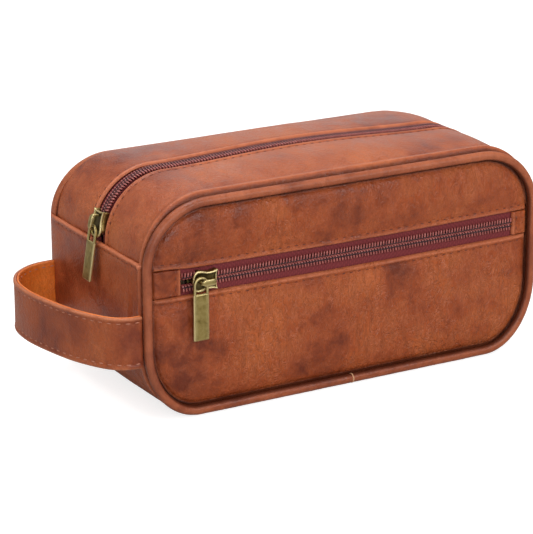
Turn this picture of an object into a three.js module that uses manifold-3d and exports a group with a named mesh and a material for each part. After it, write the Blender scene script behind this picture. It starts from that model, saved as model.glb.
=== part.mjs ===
// Shaving kit bag: a soft leather wash bag with a full length zip over the top, a zipped
// pocket across the front, corded piping round both faces and a strap handle on the left end.
// Millimetres. +X runs along the bag, -Y is the front with the pocket, +Z is up.
// The origin is the middle of the bottom, on the surface that the bag stands on.

import * as THREE from 'three';
import { mergeVertices } from 'three/addons/utils/BufferGeometryUtils.js';
import Module from 'manifold-3d';

const wasm = await Module();
wasm.setup();

// ---------------------------------------------------------------- driving dimensions

const bagLength = 260;          // over the two leather ends
const bagDepth = 118;           // over the front and back panels
const edgeHeight = 126;         // top of the zip strips where they meet the piping
const crownRise = 6;            // how far the zip stands above that edge at mid length
const endRise = 3;              // and how far round the two top corners
const topRound = 37;            // corner radius of the zip strips
const bottomRoundX = 33.5;      // bottom corners are taller than they are wide
const bottomRoundZ = 44;

const gap = 0.3;                // between pieces that touch
const leather = 1.6;
const lining = 0.8;
const foam = 3;
const boardThickness = 1.5;

const pipingRadius = 3;
const pipingCordRadius = 1.7;
const pipingInset = 1.6;        // piping centre inside the end face
const pipingDrop = 2.5;         // piping centre below the top edge
const pipingJointX = 3.2;       // the two cut ends meet here, under the bag
const pipingClearance = 0.6;    // panel edge to piping
const gussetClearance = 0.5;    // gusset edge to piping

const zipWindow = 14.8;         // opening between the leather edges beside each zip
const zipGap = 0.3;             // between the two closed halves of the teeth
const coilWidth = 3.75;         // one half of the teeth, across
const coilThickness = 2.2;
const coilSpread = 1.6;         // how far each half has moved aside where the zip is open
const tapeThickness = 0.8;
const tapeWidth = 14.5;
const tapeInner = 1.5;          // tape edge from the zip's middle, hidden under the teeth

const frontZipHeight = 79;      // middle of the pocket's zip
const frontTabLeft = -107.5;    // leather tabs end the pocket's zip here
const frontTabRight = 114.5;
const frontSliderX = -94.1;
const sliderStopGap = 2;        // slider to tab at the end of its travel
const pocketDepth = 8;          // clear space behind the pocket's panel

const mainSliderAngle = 13.5;   // degrees round the top corner from level
const mainPullLean = 9;         // degrees that the hanging pull stands off the end

const sliderNose = 7.6;         // wide end to centre
const sliderTail = 8.0;         // narrow end to centre
const sliderShoulder = 6.2;     // half widths
const sliderWaist = 4.9;
const sliderTailWidth = 5.8;
const sliderPlate = 1.2;
const sliderFlange = 0.5;
const sliderSlot = 1.15;        // half the height of the slot for the tape
const sliderChannel = 3.9;      // from the tape's middle to the top plate
const sliderFloor = 1.7;        // from the tape's middle to the bottom plate
const dividerHalf = 1.15;       // the wedge between the two halves of the teeth

const crownGap = 3.2;           // under the bar that the pull hangs on
const ringPlay = 0.6;           // between the crown's post and the pull's eye
const crownBar = 1.3;
const crownHalf = 1.1;
const crownPost = 1.6;
const crownFrom = -4.4;         // along the slider, from its centre
const crownTo = 5.6;

const pullWidth = 9.6;
const pullThickness = 1.8;
const pullWire = 1.8;           // the eye's rim
const pullEye = 10;             // the eye's height
const mainPullTab = 22.5;
const frontPullTab = 27;

const handleWidth = 30;
const handleBottom = 34;
const handleReach = 38;         // how far the loop stands out from the piping
const handleLining = 1.2;

// ---------------------------------------------------------------- derived dimensions

const halfLength = bagLength / 2;
const halfDepth = bagDepth / 2;
const stripInset = leather + gap;
const tapeInset = stripInset + leather + gap;
const tapeMiddle = tapeInset + tapeThickness / 2;
const liningInset = tapeInset + tapeThickness + gap + 0.1;
const sheetInset = stripInset + leather + 2 * gap;
const cornerX = halfLength - stripInset - topRound;
const cornerZ = edgeHeight - topRound;
const arcCentreZ = cornerZ + endRise;
const seamHeight = arcCentreZ - gap;    // end seam: the zip strips go under the gusset here
const gussetHalf = halfDepth - gussetClearance - pipingRadius;
const windowHalf = zipWindow / 2;
const crownFlat = 12;           // half width of the level strip beside the zip
const lapDepth = 10;            // how far the zip strips run down inside the gusset

const panelBack = halfDepth - leather;
const tapeFront = panelBack - gap;
const frontTapeMiddle = tapeFront - tapeThickness / 2;
const pocketWallFace = tapeFront - pocketDepth;
const paddingFrontFace = pocketWallFace - lining - gap;
const liningFrontFace = paddingFrontFace - foam - gap;
const bodyLiningFront = liningFrontFace - lining - gap;
const liningBackFace = panelBack - gap - foam - gap;
const bodyLiningBack = liningBackFace - lining - gap;

// ---------------------------------------------------------------- materials

const finish = (color, roughness, metalness) =>
  new THREE.MeshStandardMaterial({ color, roughness, metalness });

const cognac = () => finish(0x9a4f2c, 0.45, 0);
const darkCognac = () => finish(0x8a4226, 0.45, 0);
const paleLeather = () => finish(0xa85c34, 0.55, 0);
const burgundy = () => finish(0x5c2430, 0.85, 0);
const teeth = () => finish(0x3c1820, 0.35, 0);
const brass = () => finish(0x9c8a52, 0.35, 1);
const darkCloth = () => finish(0x2a2320, 0.9, 0);
const foamGrey = () => finish(0xc9c3b8, 0.95, 0);
const greyBoard = () => finish(0x77706a, 0.9, 0);
const cotton = () => finish(0xd8cfc0, 0.95, 0);

// ---------------------------------------------------------------- outlines in the XZ plane

// Drops points that repeat the one before them.
const distinct = (points) =>
  points.filter((p, i) => i === 0 || p.distanceTo(points[i - 1]) > 1e-6);

// Half of an outline, open below: up the left side, over both top corners and down again.
// The top line is broken into equal steps, so that it can be crowned afterwards.
// Where it starts above the corners' centres, it starts on their arcs.
function archPoints(half, low, top, roundX, roundZ, arcSteps = 6, topSteps = 10) {
  const centreX = half - roundX;
  const centreZ = top - roundZ;
  const start = Math.asin(Math.max(low - centreZ, 0) / roundZ);
  const path = new THREE.Path();
  if (start === 0) {
    path.moveTo(-half, low);
    path.lineTo(-half, centreZ);
  }
  path.absellipse(-centreX, centreZ, roundX, roundZ, Math.PI - start, Math.PI / 2, true);
  for (let i = 1; i <= topSteps; i++) {
    path.lineTo(-centreX + 2 * centreX * i / topSteps, top);
  }
  path.absellipse(centreX, centreZ, roundX, roundZ, Math.PI / 2, start, true);
  if (start === 0) {
    path.lineTo(half, low);
  }
  return distinct(path.getPoints(arcSteps));
}

// The other half, open above: down the left side, round both bottom corners and up again.
function cupPoints(half, high, bottom, roundX, roundZ, arcSteps = 5) {
  const centreX = half - roundX;
  const centreZ = bottom + roundZ;
  const path = new THREE.Path();
  path.moveTo(-half, high);
  path.lineTo(-half, centreZ);
  path.absellipse(-centreX, centreZ, roundX, roundZ, Math.PI, 1.5 * Math.PI, false);
  path.lineTo(centreX, bottom);
  path.absellipse(centreX, centreZ, roundX, roundZ, 1.5 * Math.PI, 2 * Math.PI, false);
  path.lineTo(half, high);
  return distinct(path.getPoints(arcSteps));
}

// Both halves at one inset from the leather's outer face.
const archAt = (inset, low, arcSteps) => archPoints(
  halfLength - inset, low, edgeHeight + stripInset - inset,
  topRound + stripInset - inset, topRound + stripInset - inset, arcSteps);

const cupAt = (inset, high) => cupPoints(
  halfLength - inset, high, inset, bottomRoundX - inset, bottomRoundZ - inset);

// A band between two open outlines, and a whole sheet closed from an arch and a cup.
const band = (outer, inner) => new THREE.Shape([...outer, ...[...inner].reverse()]);

function sheetShape(arch, cup) {
  return new THREE.Shape([...arch, ...[...cup].reverse().slice(1, -1)]);
}

// Both halves of a whole sheet meet here, on the straight part of the ends.
const middleHeight = (bottomRoundZ + cornerZ) / 2;

// Outline round the inside of the piping.
const pipingHalf = halfLength - pipingInset;
const pipingTop = edgeHeight - pipingDrop;
const pipingTopRound = [pipingHalf - cornerX, pipingTop - cornerZ];
const pipingLowRound = [pipingHalf - (halfLength - bottomRoundX), bottomRoundZ - pipingRadius];
const panelInset = pipingRadius + pipingClearance;

const panelArch = (low) => archPoints(pipingHalf - panelInset, low, pipingTop - panelInset,
  pipingTopRound[0] - panelInset, pipingTopRound[1] - panelInset, 5, 1);

const panelCup = (high) => cupPoints(pipingHalf - panelInset, high, pipingRadius + panelInset,
  pipingLowRound[0] - panelInset, pipingLowRound[1] - panelInset);

// ---------------------------------------------------------------- building blocks

// Extrudes a shape drawn in X and Z from one Y to a larger Y.
function across(shape, fromY, toY, steps = 1) {
  const depth = toY - fromY;
  const geometry = new THREE.ExtrudeGeometry(shape, { depth, steps, bevelEnabled: false });
  geometry.rotateX(Math.PI / 2);
  geometry.translate(0, toY, 0);
  return geometry;
}

function box(fromX, toX, fromY, toY, fromZ, toZ) {
  const geometry = new THREE.BoxGeometry(toX - fromX, toY - fromY, toZ - fromZ);
  geometry.translate((fromX + toX) / 2, (fromY + toY) / 2, (fromZ + toZ) / 2);
  return geometry;
}

// Lifts every vertex by how far the top is crowned over its place.
function crowned(geometry) {
  const place = geometry.getAttribute('position');
  for (let i = 0; i < place.count; i++) {
    const along = Math.min(Math.abs(place.getX(i)) / cornerX, 1);
    const rise = endRise + (crownRise - endRise) * (1 - along * along) ** 2;
    const aside = Math.max(Math.abs(place.getY(i)) - crownFlat, 0) / (gussetHalf - crownFlat);
    place.setZ(i, place.getZ(i) + rise * (1 - aside * aside));
  }
  return geometry;
}

// A path with its own stations, so that straight stretches take one step and arcs several.
class Stations extends THREE.Curve {
  constructor(points) {
    super();
    this.points = points;
  }

  getPoint(t, target = new THREE.Vector3()) {
    const last = this.points.length - 1;
    const i = Math.min(Math.floor(t * last), last - 1);
    return target.lerpVectors(this.points[i], this.points[i + 1], t * last - i);
  }

  getUtoTmapping(u) {
    return u;
  }
}

function circleShape(radius, hole = 0) {
  const shape = new THREE.Shape();
  shape.absarc(0, 0, radius, 0, 2 * Math.PI);
  if (hole > 0) {
    const inside = new THREE.Path();
    inside.absarc(0, 0, hole, 0, 2 * Math.PI);
    shape.holes.push(inside);
  }
  return shape;
}

function alongPath(shape, points, sides) {
  const extrudePath = new Stations(points);
  const steps = points.length - 1;
  return new THREE.ExtrudeGeometry(shape, { extrudePath, steps, curveSegments: sides / 2 });
}

function solid(geometry) {
  const bare = geometry.clone();
  bare.deleteAttribute('normal');
  bare.deleteAttribute('uv');
  const merged = mergeVertices(bare, 1e-4);
  return new wasm.Manifold(new wasm.Mesh({
    numProp: 3,
    vertProperties: new Float32Array(merged.getAttribute('position').array),
    triVerts: new Uint32Array(merged.getIndex().array),
  }));
}

function surface(manifold) {
  const mesh = manifold.getMesh();
  const geometry = new THREE.BufferGeometry();
  geometry.setAttribute('position', new THREE.BufferAttribute(mesh.vertProperties, 3));
  geometry.setIndex(new THREE.BufferAttribute(mesh.triVerts, 1));
  geometry.computeVertexNormals();
  return geometry;
}

const joined = (...geometries) => surface(geometries.map(solid).reduce((a, b) => a.add(b)));
const common = (a, b) => surface(solid(a).intersect(solid(b)));

const bag = new THREE.Group();

function add(name, geometry, material, parent = bag) {
  const mesh = new THREE.Mesh(geometry, material);
  mesh.name = name;
  parent.add(mesh);
  return mesh;
}

// ---------------------------------------------------------------- leather body

// One strip runs down the left end, under the bag and up the right end.
add('side_gusset', across(band(cupAt(0, seamHeight), cupAt(leather, seamHeight)),
  -gussetHalf, gussetHalf), cognac());

// Two strips hold the top zip between them and end inside the gusset.
const stripLow = seamHeight - lapDepth;
const stripBand = band(archAt(stripInset, stripLow), archAt(stripInset + leather, stripLow));
add('top_strip_front', crowned(across(stripBand, -gussetHalf, -windowHalf, 5)), cognac());
add('top_strip_back', crowned(across(stripBand, windowHalf, gussetHalf, 5)), cognac());

const windowLow = frontZipHeight - windowHalf;
const windowHigh = frontZipHeight + windowHalf;
add('front_panel_upper', across(new THREE.Shape(panelArch(windowHigh)),
  -halfDepth, -panelBack), cognac());
add('front_panel_lower', across(new THREE.Shape(panelCup(windowLow)),
  -halfDepth, -panelBack), cognac());
const panelShape = sheetShape(panelArch(middleHeight), panelCup(middleHeight));
add('back_panel', across(panelShape, panelBack, halfDepth), cognac());

// The tabs fill the ends of the zip's window, out to the same outline as the panels.
const panelThrough = across(panelShape, -halfDepth - gap, -panelBack + gap);
const tab = (fromX, toX) => common(panelThrough, box(fromX, toX, -halfDepth, -panelBack,
  windowLow + gap, windowHigh - gap));
add('front_tab_left', tab(-halfLength, frontTabLeft), darkCognac());
add('front_tab_right', tab(frontTabRight, halfLength), darkCognac());

// ---------------------------------------------------------------- corded piping

function pipingRoute(y) {
  const arch = archPoints(pipingHalf, bottomRoundZ, pipingTop, ...pipingTopRound, 5, 1);
  const cup = cupPoints(pipingHalf, bottomRoundZ, pipingRadius, ...pipingLowRound, 5);
  const middle = cup.length / 2;
  const ends = [-gap / 2, gap / 2].map((side) =>
    new THREE.Vector2(pipingJointX + side, pipingRadius));
  const leftHalf = cup.slice(1, middle).reverse();
  const rightHalf = cup.slice(middle, -1).reverse();
  const route = [ends[0], ...leftHalf, ...arch.slice(1, -1), ...rightHalf, ends[1]];
  return route.map((p) => new THREE.Vector3(p.x, y, p.y));
}

for (const [face, y] of [['front', -halfDepth], ['back', halfDepth]]) {
  const route = pipingRoute(y);
  add(`${face}_piping_cover`,
    alongPath(circleShape(pipingRadius, pipingCordRadius + gap), route, 8), darkCognac());
  add(`${face}_piping_cord`, alongPath(circleShape(pipingCordRadius), route, 6), cotton());
}

// ---------------------------------------------------------------- top zip

const tapeLow = stripLow + 2;
const tapeBand = band(archAt(tapeInset, tapeLow, 7), archAt(tapeInset + tapeThickness, tapeLow, 7));
add('main_tape_front', crowned(across(tapeBand, -tapeInner - tapeWidth, -tapeInner, 3)),
  burgundy());
add('main_tape_back', crowned(across(tapeBand, tapeInner, tapeInner + tapeWidth, 3)),
  burgundy());

// The teeth stand on the tape, and stop at the end seams.
const coilLift = tapeThickness / 2 + gap;
const coilBand = band(archAt(tapeMiddle - coilLift - coilThickness, cornerZ, 8),
  archAt(tapeMiddle - coilLift, cornerZ, 8));
const restAngle = THREE.MathUtils.degToRad(mainSliderAngle);

// 0 where the zip is closed, 1 where the slider has parted it, over half a slider's length.
const parting = (along) => THREE.MathUtils.clamp(0.5 - along / (sliderNose * 0.6), 0, 1);

function mainCoil(side) {
  const inner = zipGap / 2;
  const outer = inner + coilWidth;
  const geometry = side < 0 ? across(coilBand, -outer, -inner) : across(coilBand, inner, outer);
  const place = geometry.getAttribute('position');
  for (let i = 0; i < place.count; i++) {
    if (place.getX(i) < -cornerX) {
      const angle = Math.atan2(place.getZ(i) - cornerZ, -cornerX - place.getX(i));
      const along = (angle - restAngle) * topRound + sliderNose * 0.3;
      place.setY(i, place.getY(i) + side * coilSpread * parting(along));
    }
  }
  return crowned(geometry);
}

add('main_coil_front', mainCoil(-1), teeth());
add('main_coil_back', mainCoil(1), teeth());

// ---------------------------------------------------------------- pocket zip

const frontTapeHalf = halfLength - 12;
const frontCoilFace = frontTapeMiddle + coilLift + coilThickness;

function frontCoil(side) {
  const inner = zipGap / 2;
  const from = frontTabLeft + gap;
  const to = frontTabRight - gap;
  const bends = [from, frontSliderX - sliderNose * 0.6, frontSliderX, to];
  const spread = [coilSpread, coilSpread, 0, 0];
  const edge = (offset) => bends.map((x, i) =>
    new THREE.Vector2(x, frontZipHeight + side * (offset + spread[i])));
  const shape = new THREE.Shape([...edge(inner), ...edge(inner + coilWidth).reverse()]);
  return across(shape, -frontCoilFace, -frontTapeMiddle - coilLift);
}

for (const [name, side] of [['upper', 1], ['lower', -1]]) {
  const edges = [tapeInner, tapeInner + tapeWidth].map((w) => frontZipHeight + side * w);
  add(`front_tape_${name}`, box(-frontTapeHalf, frontTapeHalf, -tapeFront,
    -tapeFront + tapeThickness, Math.min(...edges), Math.max(...edges)), burgundy());
  add(`front_coil_${name}`, frontCoil(side), teeth());
}

// ---------------------------------------------------------------- sliders and pulls

// A slider in its own frame: X along the zip to its narrow end, Z out of the bag,
// and Z = 0 in the middle of the tape.
function sliderOutline(shrink = 0) {
  const nose = sliderNose - shrink;
  const shoulder = sliderShoulder - shrink;
  const waist = sliderWaist - shrink;
  const tail = sliderTailWidth - shrink;
  const shape = new THREE.Shape();
  shape.moveTo(-nose, 0);
  shape.quadraticCurveTo(-nose, -shoulder, -nose / 2, -shoulder);
  shape.bezierCurveTo(-1, -shoulder, 0, -waist, nose / 3, -waist);
  shape.quadraticCurveTo(nose * 0.75, -waist, sliderTail, -tail);
  shape.lineTo(sliderTail, tail);
  shape.quadraticCurveTo(nose * 0.75, waist, nose / 3, waist);
  shape.bezierCurveTo(0, waist, -1, shoulder, -nose / 2, shoulder);
  shape.quadraticCurveTo(-nose, shoulder, -nose, 0);
  return shape;
}

function raised(shape, from, to, curveSegments = 4) {
  const geometry = new THREE.ExtrudeGeometry(shape,
    { depth: to - from, bevelEnabled: false, curveSegments });
  geometry.translate(0, 0, from);
  return geometry;
}

// The flanges are the rim of the outline behind the shoulders, one along each side.
function flangeShape(side) {
  const rim = (w, x) => new THREE.Vector2(x, side * w);
  const stations = [[sliderShoulder, -sliderNose / 2], [sliderWaist + 0.55, -0.6],
    [sliderWaist, sliderNose / 3], [sliderWaist + 0.25, sliderNose * 0.75],
    [sliderTailWidth, sliderTail]];
  const outer = stations.map(([w, x]) => rim(w, x));
  const inner = stations.map(([w, x]) => rim(w - sliderFlange, x));
  return new THREE.Shape([...outer, ...inner.reverse()]);
}

const bite = 0.2;               // overlap of pieces that are cast as one

function sliderBody() {
  const outline = sliderOutline();
  const divider = new THREE.Shape();
  divider.moveTo(-sliderNose + 0.4, 0);
  divider.lineTo(-sliderNose * 0.75, -dividerHalf);
  divider.lineTo(-sliderNose * 0.45, 0);
  divider.lineTo(-sliderNose * 0.75, dividerHalf);
  const top = raised(outline, sliderChannel, sliderChannel + sliderPlate);
  const floor = raised(outline, -sliderFloor - sliderPlate, -sliderFloor);
  const wedge = raised(divider, -sliderFloor - bite, sliderChannel + bite);
  const rims = [-1, 1].flatMap((side) => [
    raised(flangeShape(side), sliderSlot, sliderChannel + bite),
    raised(flangeShape(side), -sliderFloor - bite, -sliderSlot),
  ]);
  return joined(top, floor, wedge, ...rims);
}

const plateTop = sliderChannel + sliderPlate;
const barFrom = plateTop + crownGap;

function sliderCrown() {
  const foot = plateTop + gap;
  const head = barFrom + crownBar;
  const shape = new THREE.Shape();
  shape.moveTo(crownFrom, foot);
  shape.lineTo(crownFrom + crownPost, foot);
  shape.lineTo(crownFrom + crownPost, barFrom);
  shape.lineTo(crownTo - crownPost, barFrom);
  shape.lineTo(crownTo - crownPost, foot);
  shape.lineTo(crownTo, foot);
  shape.lineTo(crownTo, head - 0.5);
  shape.lineTo(crownTo - 0.5, head);
  shape.lineTo(crownFrom + 0.5, head);
  shape.lineTo(crownFrom, head - 0.5);
  return across(shape, -crownHalf, crownHalf);
}

// A pull hangs along -Z from the middle of its eye's rim, with its width along X.
function pull(tab) {
  const half = pullWidth / 2;
  const archZ = pullWire / 2 - half;
  const tabTop = pullWire / 2 - pullEye;
  const shape = new THREE.Shape();
  shape.moveTo(-half, tabTop - tab);
  shape.lineTo(half, tabTop - tab);
  shape.lineTo(half, archZ);
  shape.absarc(0, archZ, half, 0, Math.PI);
  shape.closePath();
  const eye = new THREE.Path();
  eye.moveTo(half - pullWire, tabTop);
  eye.lineTo(half - pullWire, archZ);
  eye.absarc(0, archZ, half - pullWire, 0, Math.PI);
  eye.lineTo(pullWire - half, tabTop);
  shape.holes.push(eye);
  const geometry = new THREE.ExtrudeGeometry(shape,
    { depth: pullThickness, bevelEnabled: false, curveSegments: 5 });
  geometry.rotateX(Math.PI / 2);
  geometry.translate(0, pullThickness / 2, 0);
  return geometry;
}

// The eye's rim lies in the middle of the space under the bar, just inside its first post.
const eyeHeight = plateTop + crownGap / 2;
const postInside = crownFrom + crownPost;

// Pocket slider: it stands on the zip's line, facing the front.
const frontSlider = new THREE.Group();
frontSlider.position.set(frontSliderX, -frontTapeMiddle, frontZipHeight);
frontSlider.rotation.x = Math.PI / 2;
add('front_slider_body', sliderBody(), brass(), frontSlider);
add('front_slider_crown', sliderCrown(), brass(), frontSlider);
bag.add(frontSlider);

const hookHeight = crownHalf + ringPlay + pullWire / 2;
const frontPull = add('front_pull', pull(frontPullTab), brass());
frontPull.position.set(frontSliderX + crownFrom + crownPost / 2,
  -frontTapeMiddle - eyeHeight, frontZipHeight + hookHeight);

// Top slider: it rides the arc of the left top corner. It sits half an arc's sag inside the
// tape, so that the tape stays in the middle of its slot from end to end.
const tapeRadius = topRound + stripInset - tapeMiddle;
const sag = Math.hypot(tapeRadius, sliderTail) - tapeRadius;
const seatRadius = tapeRadius - sag / 2;
const outward = new THREE.Vector3(-Math.cos(restAngle), 0, Math.sin(restAngle));
const upward = new THREE.Vector3(Math.sin(restAngle), 0, Math.cos(restAngle));
const arcCentre = new THREE.Vector3(-cornerX, 0, arcCentreZ);

const mainSlider = new THREE.Group();
mainSlider.position.copy(arcCentre).addScaledVector(outward, seatRadius);
mainSlider.rotation.y = restAngle - Math.PI / 2;
add('main_slider_body', sliderBody(), brass(), mainSlider);
add('main_slider_crown', sliderCrown(), brass(), mainSlider);
bag.add(mainSlider);

const mainPull = add('main_pull', pull(mainPullTab).rotateZ(Math.PI / 2), brass());
mainPull.position.copy(mainSlider.position)
  .addScaledVector(outward, eyeHeight)
  .addScaledVector(upward, postInside + ringPlay + pullWire / 2);
mainPull.rotation.y = THREE.MathUtils.degToRad(mainPullLean);

// ---------------------------------------------------------------- strap handle

// Plan of the strap's outer face: shares of its reach and of half the bag's depth.
const loopShares = [[0, -1], [0.22, -0.985], [0.44, -0.9], [0.62, -0.73], [0.8, -0.46],
  [0.94, -0.08], [1, 0.24], [0.95, 0.54], [0.76, 0.78], [0.5, 0.92], [0.24, 0.985], [0, 1]];
const handleStart = pipingHalf + pipingRadius + gussetClearance;
const handleCurve = new THREE.CatmullRomCurve3(loopShares.map(([out, side]) =>
  new THREE.Vector3(-handleStart - handleReach * out, side * halfDepth, 0)));

// A layer of the strap between two depths under that face.
function strapLayer(from, to) {
  const steps = 36;
  const edge = (depth) => handleCurve.getSpacedPoints(steps).map((p, i) => {
    const along = handleCurve.getTangentAt(i / steps);
    return new THREE.Vector2(p.x + along.y * depth, p.y - along.x * depth);
  });
  const shape = new THREE.Shape([...edge(from), ...edge(to).reverse()]);
  return raised(shape, handleBottom, handleBottom + handleWidth, 1);
}

add('handle_outer', strapLayer(0, leather), cognac());
add('handle_inner', strapLayer(leather + gap, leather + gap + handleLining), paleLeather());

// ---------------------------------------------------------------- inside

// Flat sheets fill the outline just inside the strips and the gusset.
const sheet = (fromY, toY) => across(
  sheetShape(archPoints(halfLength - sheetInset, middleHeight,
    edgeHeight + stripInset - sheetInset, topRound + stripInset - sheetInset,
    topRound + stripInset - sheetInset, 5, 1),
  cupAt(sheetInset, middleHeight)), fromY, toY);

add('pocket_wall', sheet(-pocketWallFace, -pocketWallFace + lining), darkCloth());
add('padding_front', sheet(-paddingFrontFace, -paddingFrontFace + foam), foamGrey());
add('lining_front', sheet(-liningFrontFace, -liningFrontFace + lining), darkCloth());
add('padding_back', across(panelShape, panelBack - gap - foam, panelBack - gap), foamGrey());
add('lining_back', sheet(liningBackFace - lining, liningBackFace), darkCloth());

// The body lining follows the gusset up to the end seams, and the strips over the top.
const liningTurn = cornerZ - 1;
add('lining_body', across(band(cupAt(liningInset, liningTurn),
  cupAt(liningInset + lining, liningTurn)), -bodyLiningFront, bodyLiningBack), darkCloth());

const liningTopBand = band(archAt(liningInset, liningTurn + gap),
  archAt(liningInset + lining, liningTurn + gap));
add('lining_top_front', crowned(across(liningTopBand, -bodyLiningFront, -windowHalf - 0.6, 4)),
  darkCloth());
add('lining_top_back', crowned(across(liningTopBand, windowHalf + 0.6, bodyLiningBack, 4)),
  darkCloth());

const boardHalf = halfLength - bottomRoundX;
add('bottom_board', box(-boardHalf, boardHalf, -gussetHalf + gap, gussetHalf - gap,
  leather + gap, leather + gap + boardThickness), greyBoard());

export default bag;
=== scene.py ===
# %% [markdown]
# # A leather shaving kit bag
# The bag is a soft box of cognac leather. A band of leather runs up both ends and under the bottom,
# two strips cover the top on both sides of the main zip, and a front and a back panel close the faces.
# Corded piping covers the two face seams. The front has a zipped pocket, and the left end a strap.
# Every piece here is a surface worked out with numpy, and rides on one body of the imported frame.

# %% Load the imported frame
import math
import bpy
import numpy as np
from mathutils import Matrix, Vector


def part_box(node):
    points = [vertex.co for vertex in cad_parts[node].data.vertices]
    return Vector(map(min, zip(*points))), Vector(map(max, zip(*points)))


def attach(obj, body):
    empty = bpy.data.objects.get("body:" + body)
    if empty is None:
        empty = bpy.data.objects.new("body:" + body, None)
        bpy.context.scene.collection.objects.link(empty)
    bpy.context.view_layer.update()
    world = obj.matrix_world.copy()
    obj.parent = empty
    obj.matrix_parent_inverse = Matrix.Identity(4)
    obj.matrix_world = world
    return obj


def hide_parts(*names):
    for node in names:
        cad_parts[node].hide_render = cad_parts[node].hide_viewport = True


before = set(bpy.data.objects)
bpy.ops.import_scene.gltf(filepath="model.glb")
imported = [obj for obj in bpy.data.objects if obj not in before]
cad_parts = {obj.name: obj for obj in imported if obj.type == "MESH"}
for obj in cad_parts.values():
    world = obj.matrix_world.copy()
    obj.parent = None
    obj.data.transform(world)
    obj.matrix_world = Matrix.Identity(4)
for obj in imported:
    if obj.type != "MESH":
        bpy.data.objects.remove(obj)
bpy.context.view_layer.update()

# %% [markdown]
# ## From a grid of points to a mesh
# Leather, tape and wire are all sheets or tubes: a shape is a grid of points with rows and columns.
# One helper turns such a grid into quads, closes its seams and ends, and turns its faces outwards by
# the sign of its volume. Lengths below are in millimetres, and become metres at the last moment.

# %% Grid helpers
MM = 0.001


def grid(points, wrap=False, loop=False, edge=None):
    """Quads between neighbouring points of an array (rows, columns, 3).
    wrap joins the last column to the first, loop joins the last row to the first.
    Open ends of a wrapped grid are closed by one face each."""
    rows, cols = points.shape[:2]
    number = np.arange(rows * cols).reshape(rows, cols)
    low = number if loop else number[:-1]
    high = np.roll(number, -1, 0) if loop else number[1:]
    if not wrap:
        low_a, low_b = low[:, :-1], low[:, 1:]
        high_a, high_b = high[:, :-1], high[:, 1:]
    else:
        low_a, low_b = low, np.roll(low, -1, 1)
        high_a, high_b = high, np.roll(high, -1, 1)
    quads = np.stack([low_a, low_b, high_b, high_a], -1).reshape(-1, 4)
    faces = quads.tolist()
    if wrap and not loop:
        faces.append(number[0][::-1].tolist())
        faces.append(number[-1].tolist())
    mark = np.zeros((rows, cols)) if edge is None else np.broadcast_to(edge, (rows, cols))
    steps = np.linalg.norm(np.diff(points, axis=0), axis=2).mean(1)
    along = np.broadcast_to(np.concatenate([[0], np.cumsum(steps)])[:, None], (rows, cols))
    widths = np.linalg.norm(np.diff(points, axis=1), axis=2).mean(0)
    side = np.broadcast_to(np.concatenate([[0], np.cumsum(widths)])[None, :], (rows, cols))
    flat = points.reshape(-1, 3)
    return {"at": flat, "faces": outward(flat, faces, quads), "edge": mark.ravel(),
            "uv": np.stack([along.ravel(), side.ravel()], 1) * MM}


def outward(at, faces, quads):
    """The faces, turned round if the volume they enclose, the sum of a.(b x c)/6, is negative."""
    a, b, c, d = (at[quads[:, i]] for i in range(4))
    volume = (a * np.cross(b, c)).sum() + (a * np.cross(c, d)).sum()
    return faces if volume > 0 else [face[::-1] for face in faces]


def piece(name, parts, finish, body="bag", replaces=()):
    """Joins grids into one object named name, gives it a finish and makes it ride on a body."""
    starts = np.cumsum([0] + [len(part["at"]) for part in parts])
    at = np.concatenate([part["at"] for part in parts]) * MM
    faces = [[i + start for i in face] for part, start in zip(parts, starts) for face in part["faces"]]
    mesh = bpy.data.meshes.new(name)
    mesh.from_pydata(at.tolist(), [], faces)
    corner = np.zeros(len(mesh.loops), np.int32)
    mesh.loops.foreach_get("vertex_index", corner)
    uv = np.concatenate([part["uv"] for part in parts])[corner]
    mesh.uv_layers.new(name="length_width").data.foreach_set("uv", uv.astype(np.float32).ravel())
    worn = mesh.attributes.new("wear_patina_and_shade", "FLOAT", "POINT")
    worn.data.foreach_set("value", np.concatenate([part["edge"] for part in parts]).astype(np.float32))
    mesh.polygons.foreach_set("use_smooth", [True] * len(faces))
    mesh.materials.append(finish)
    mesh.update()
    thing = bpy.data.objects.new(name, mesh)
    bpy.context.scene.collection.objects.link(thing)
    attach(thing, body)
    if replaces:
        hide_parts(*replaces)
    print(f"{name}: {len(faces)} faces")
    return thing


def ease(x):
    """3x^2 - 2x^3 of x held between 0 and 1."""
    x = np.clip(x, 0, 1)
    return x * x * (3 - 2 * x)


def bump(x, centre, width):
    """A bell exp(-((x - centre)/width)^2)."""
    return np.exp(-((x - centre) / width) ** 2)


def ripple(a, b, seed, wave, waves=9):
    """A soft unevenness, about -1 to 1: the sum of cosines of a and b with seeded directions."""
    pick = np.random.default_rng(seed)
    turn = pick.uniform(0, 2 * math.pi, waves)
    pace = 2 * math.pi / wave * pick.uniform(0.6, 1.5, waves)
    phase = pick.uniform(0, 2 * math.pi, waves)
    share = 1.6 / waves
    return sum(share * np.cos(p * (a * math.cos(t) + b * math.sin(t)) + f)
               for t, p, f in zip(turn, pace, phase))


def round_turn(count):
    """A row of angles, count of them, evenly round a circle."""
    return np.linspace(0, 2 * math.pi, count, endpoint=False)[None, :]


def soft_box(angle, power):
    """A circle pushed out towards a square: the sign and a power of its cosine and of its sine."""
    c, s = np.cos(angle), np.sin(angle)
    return np.sign(c) * np.abs(c) ** power, np.sign(s) * np.abs(s) ** power
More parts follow.
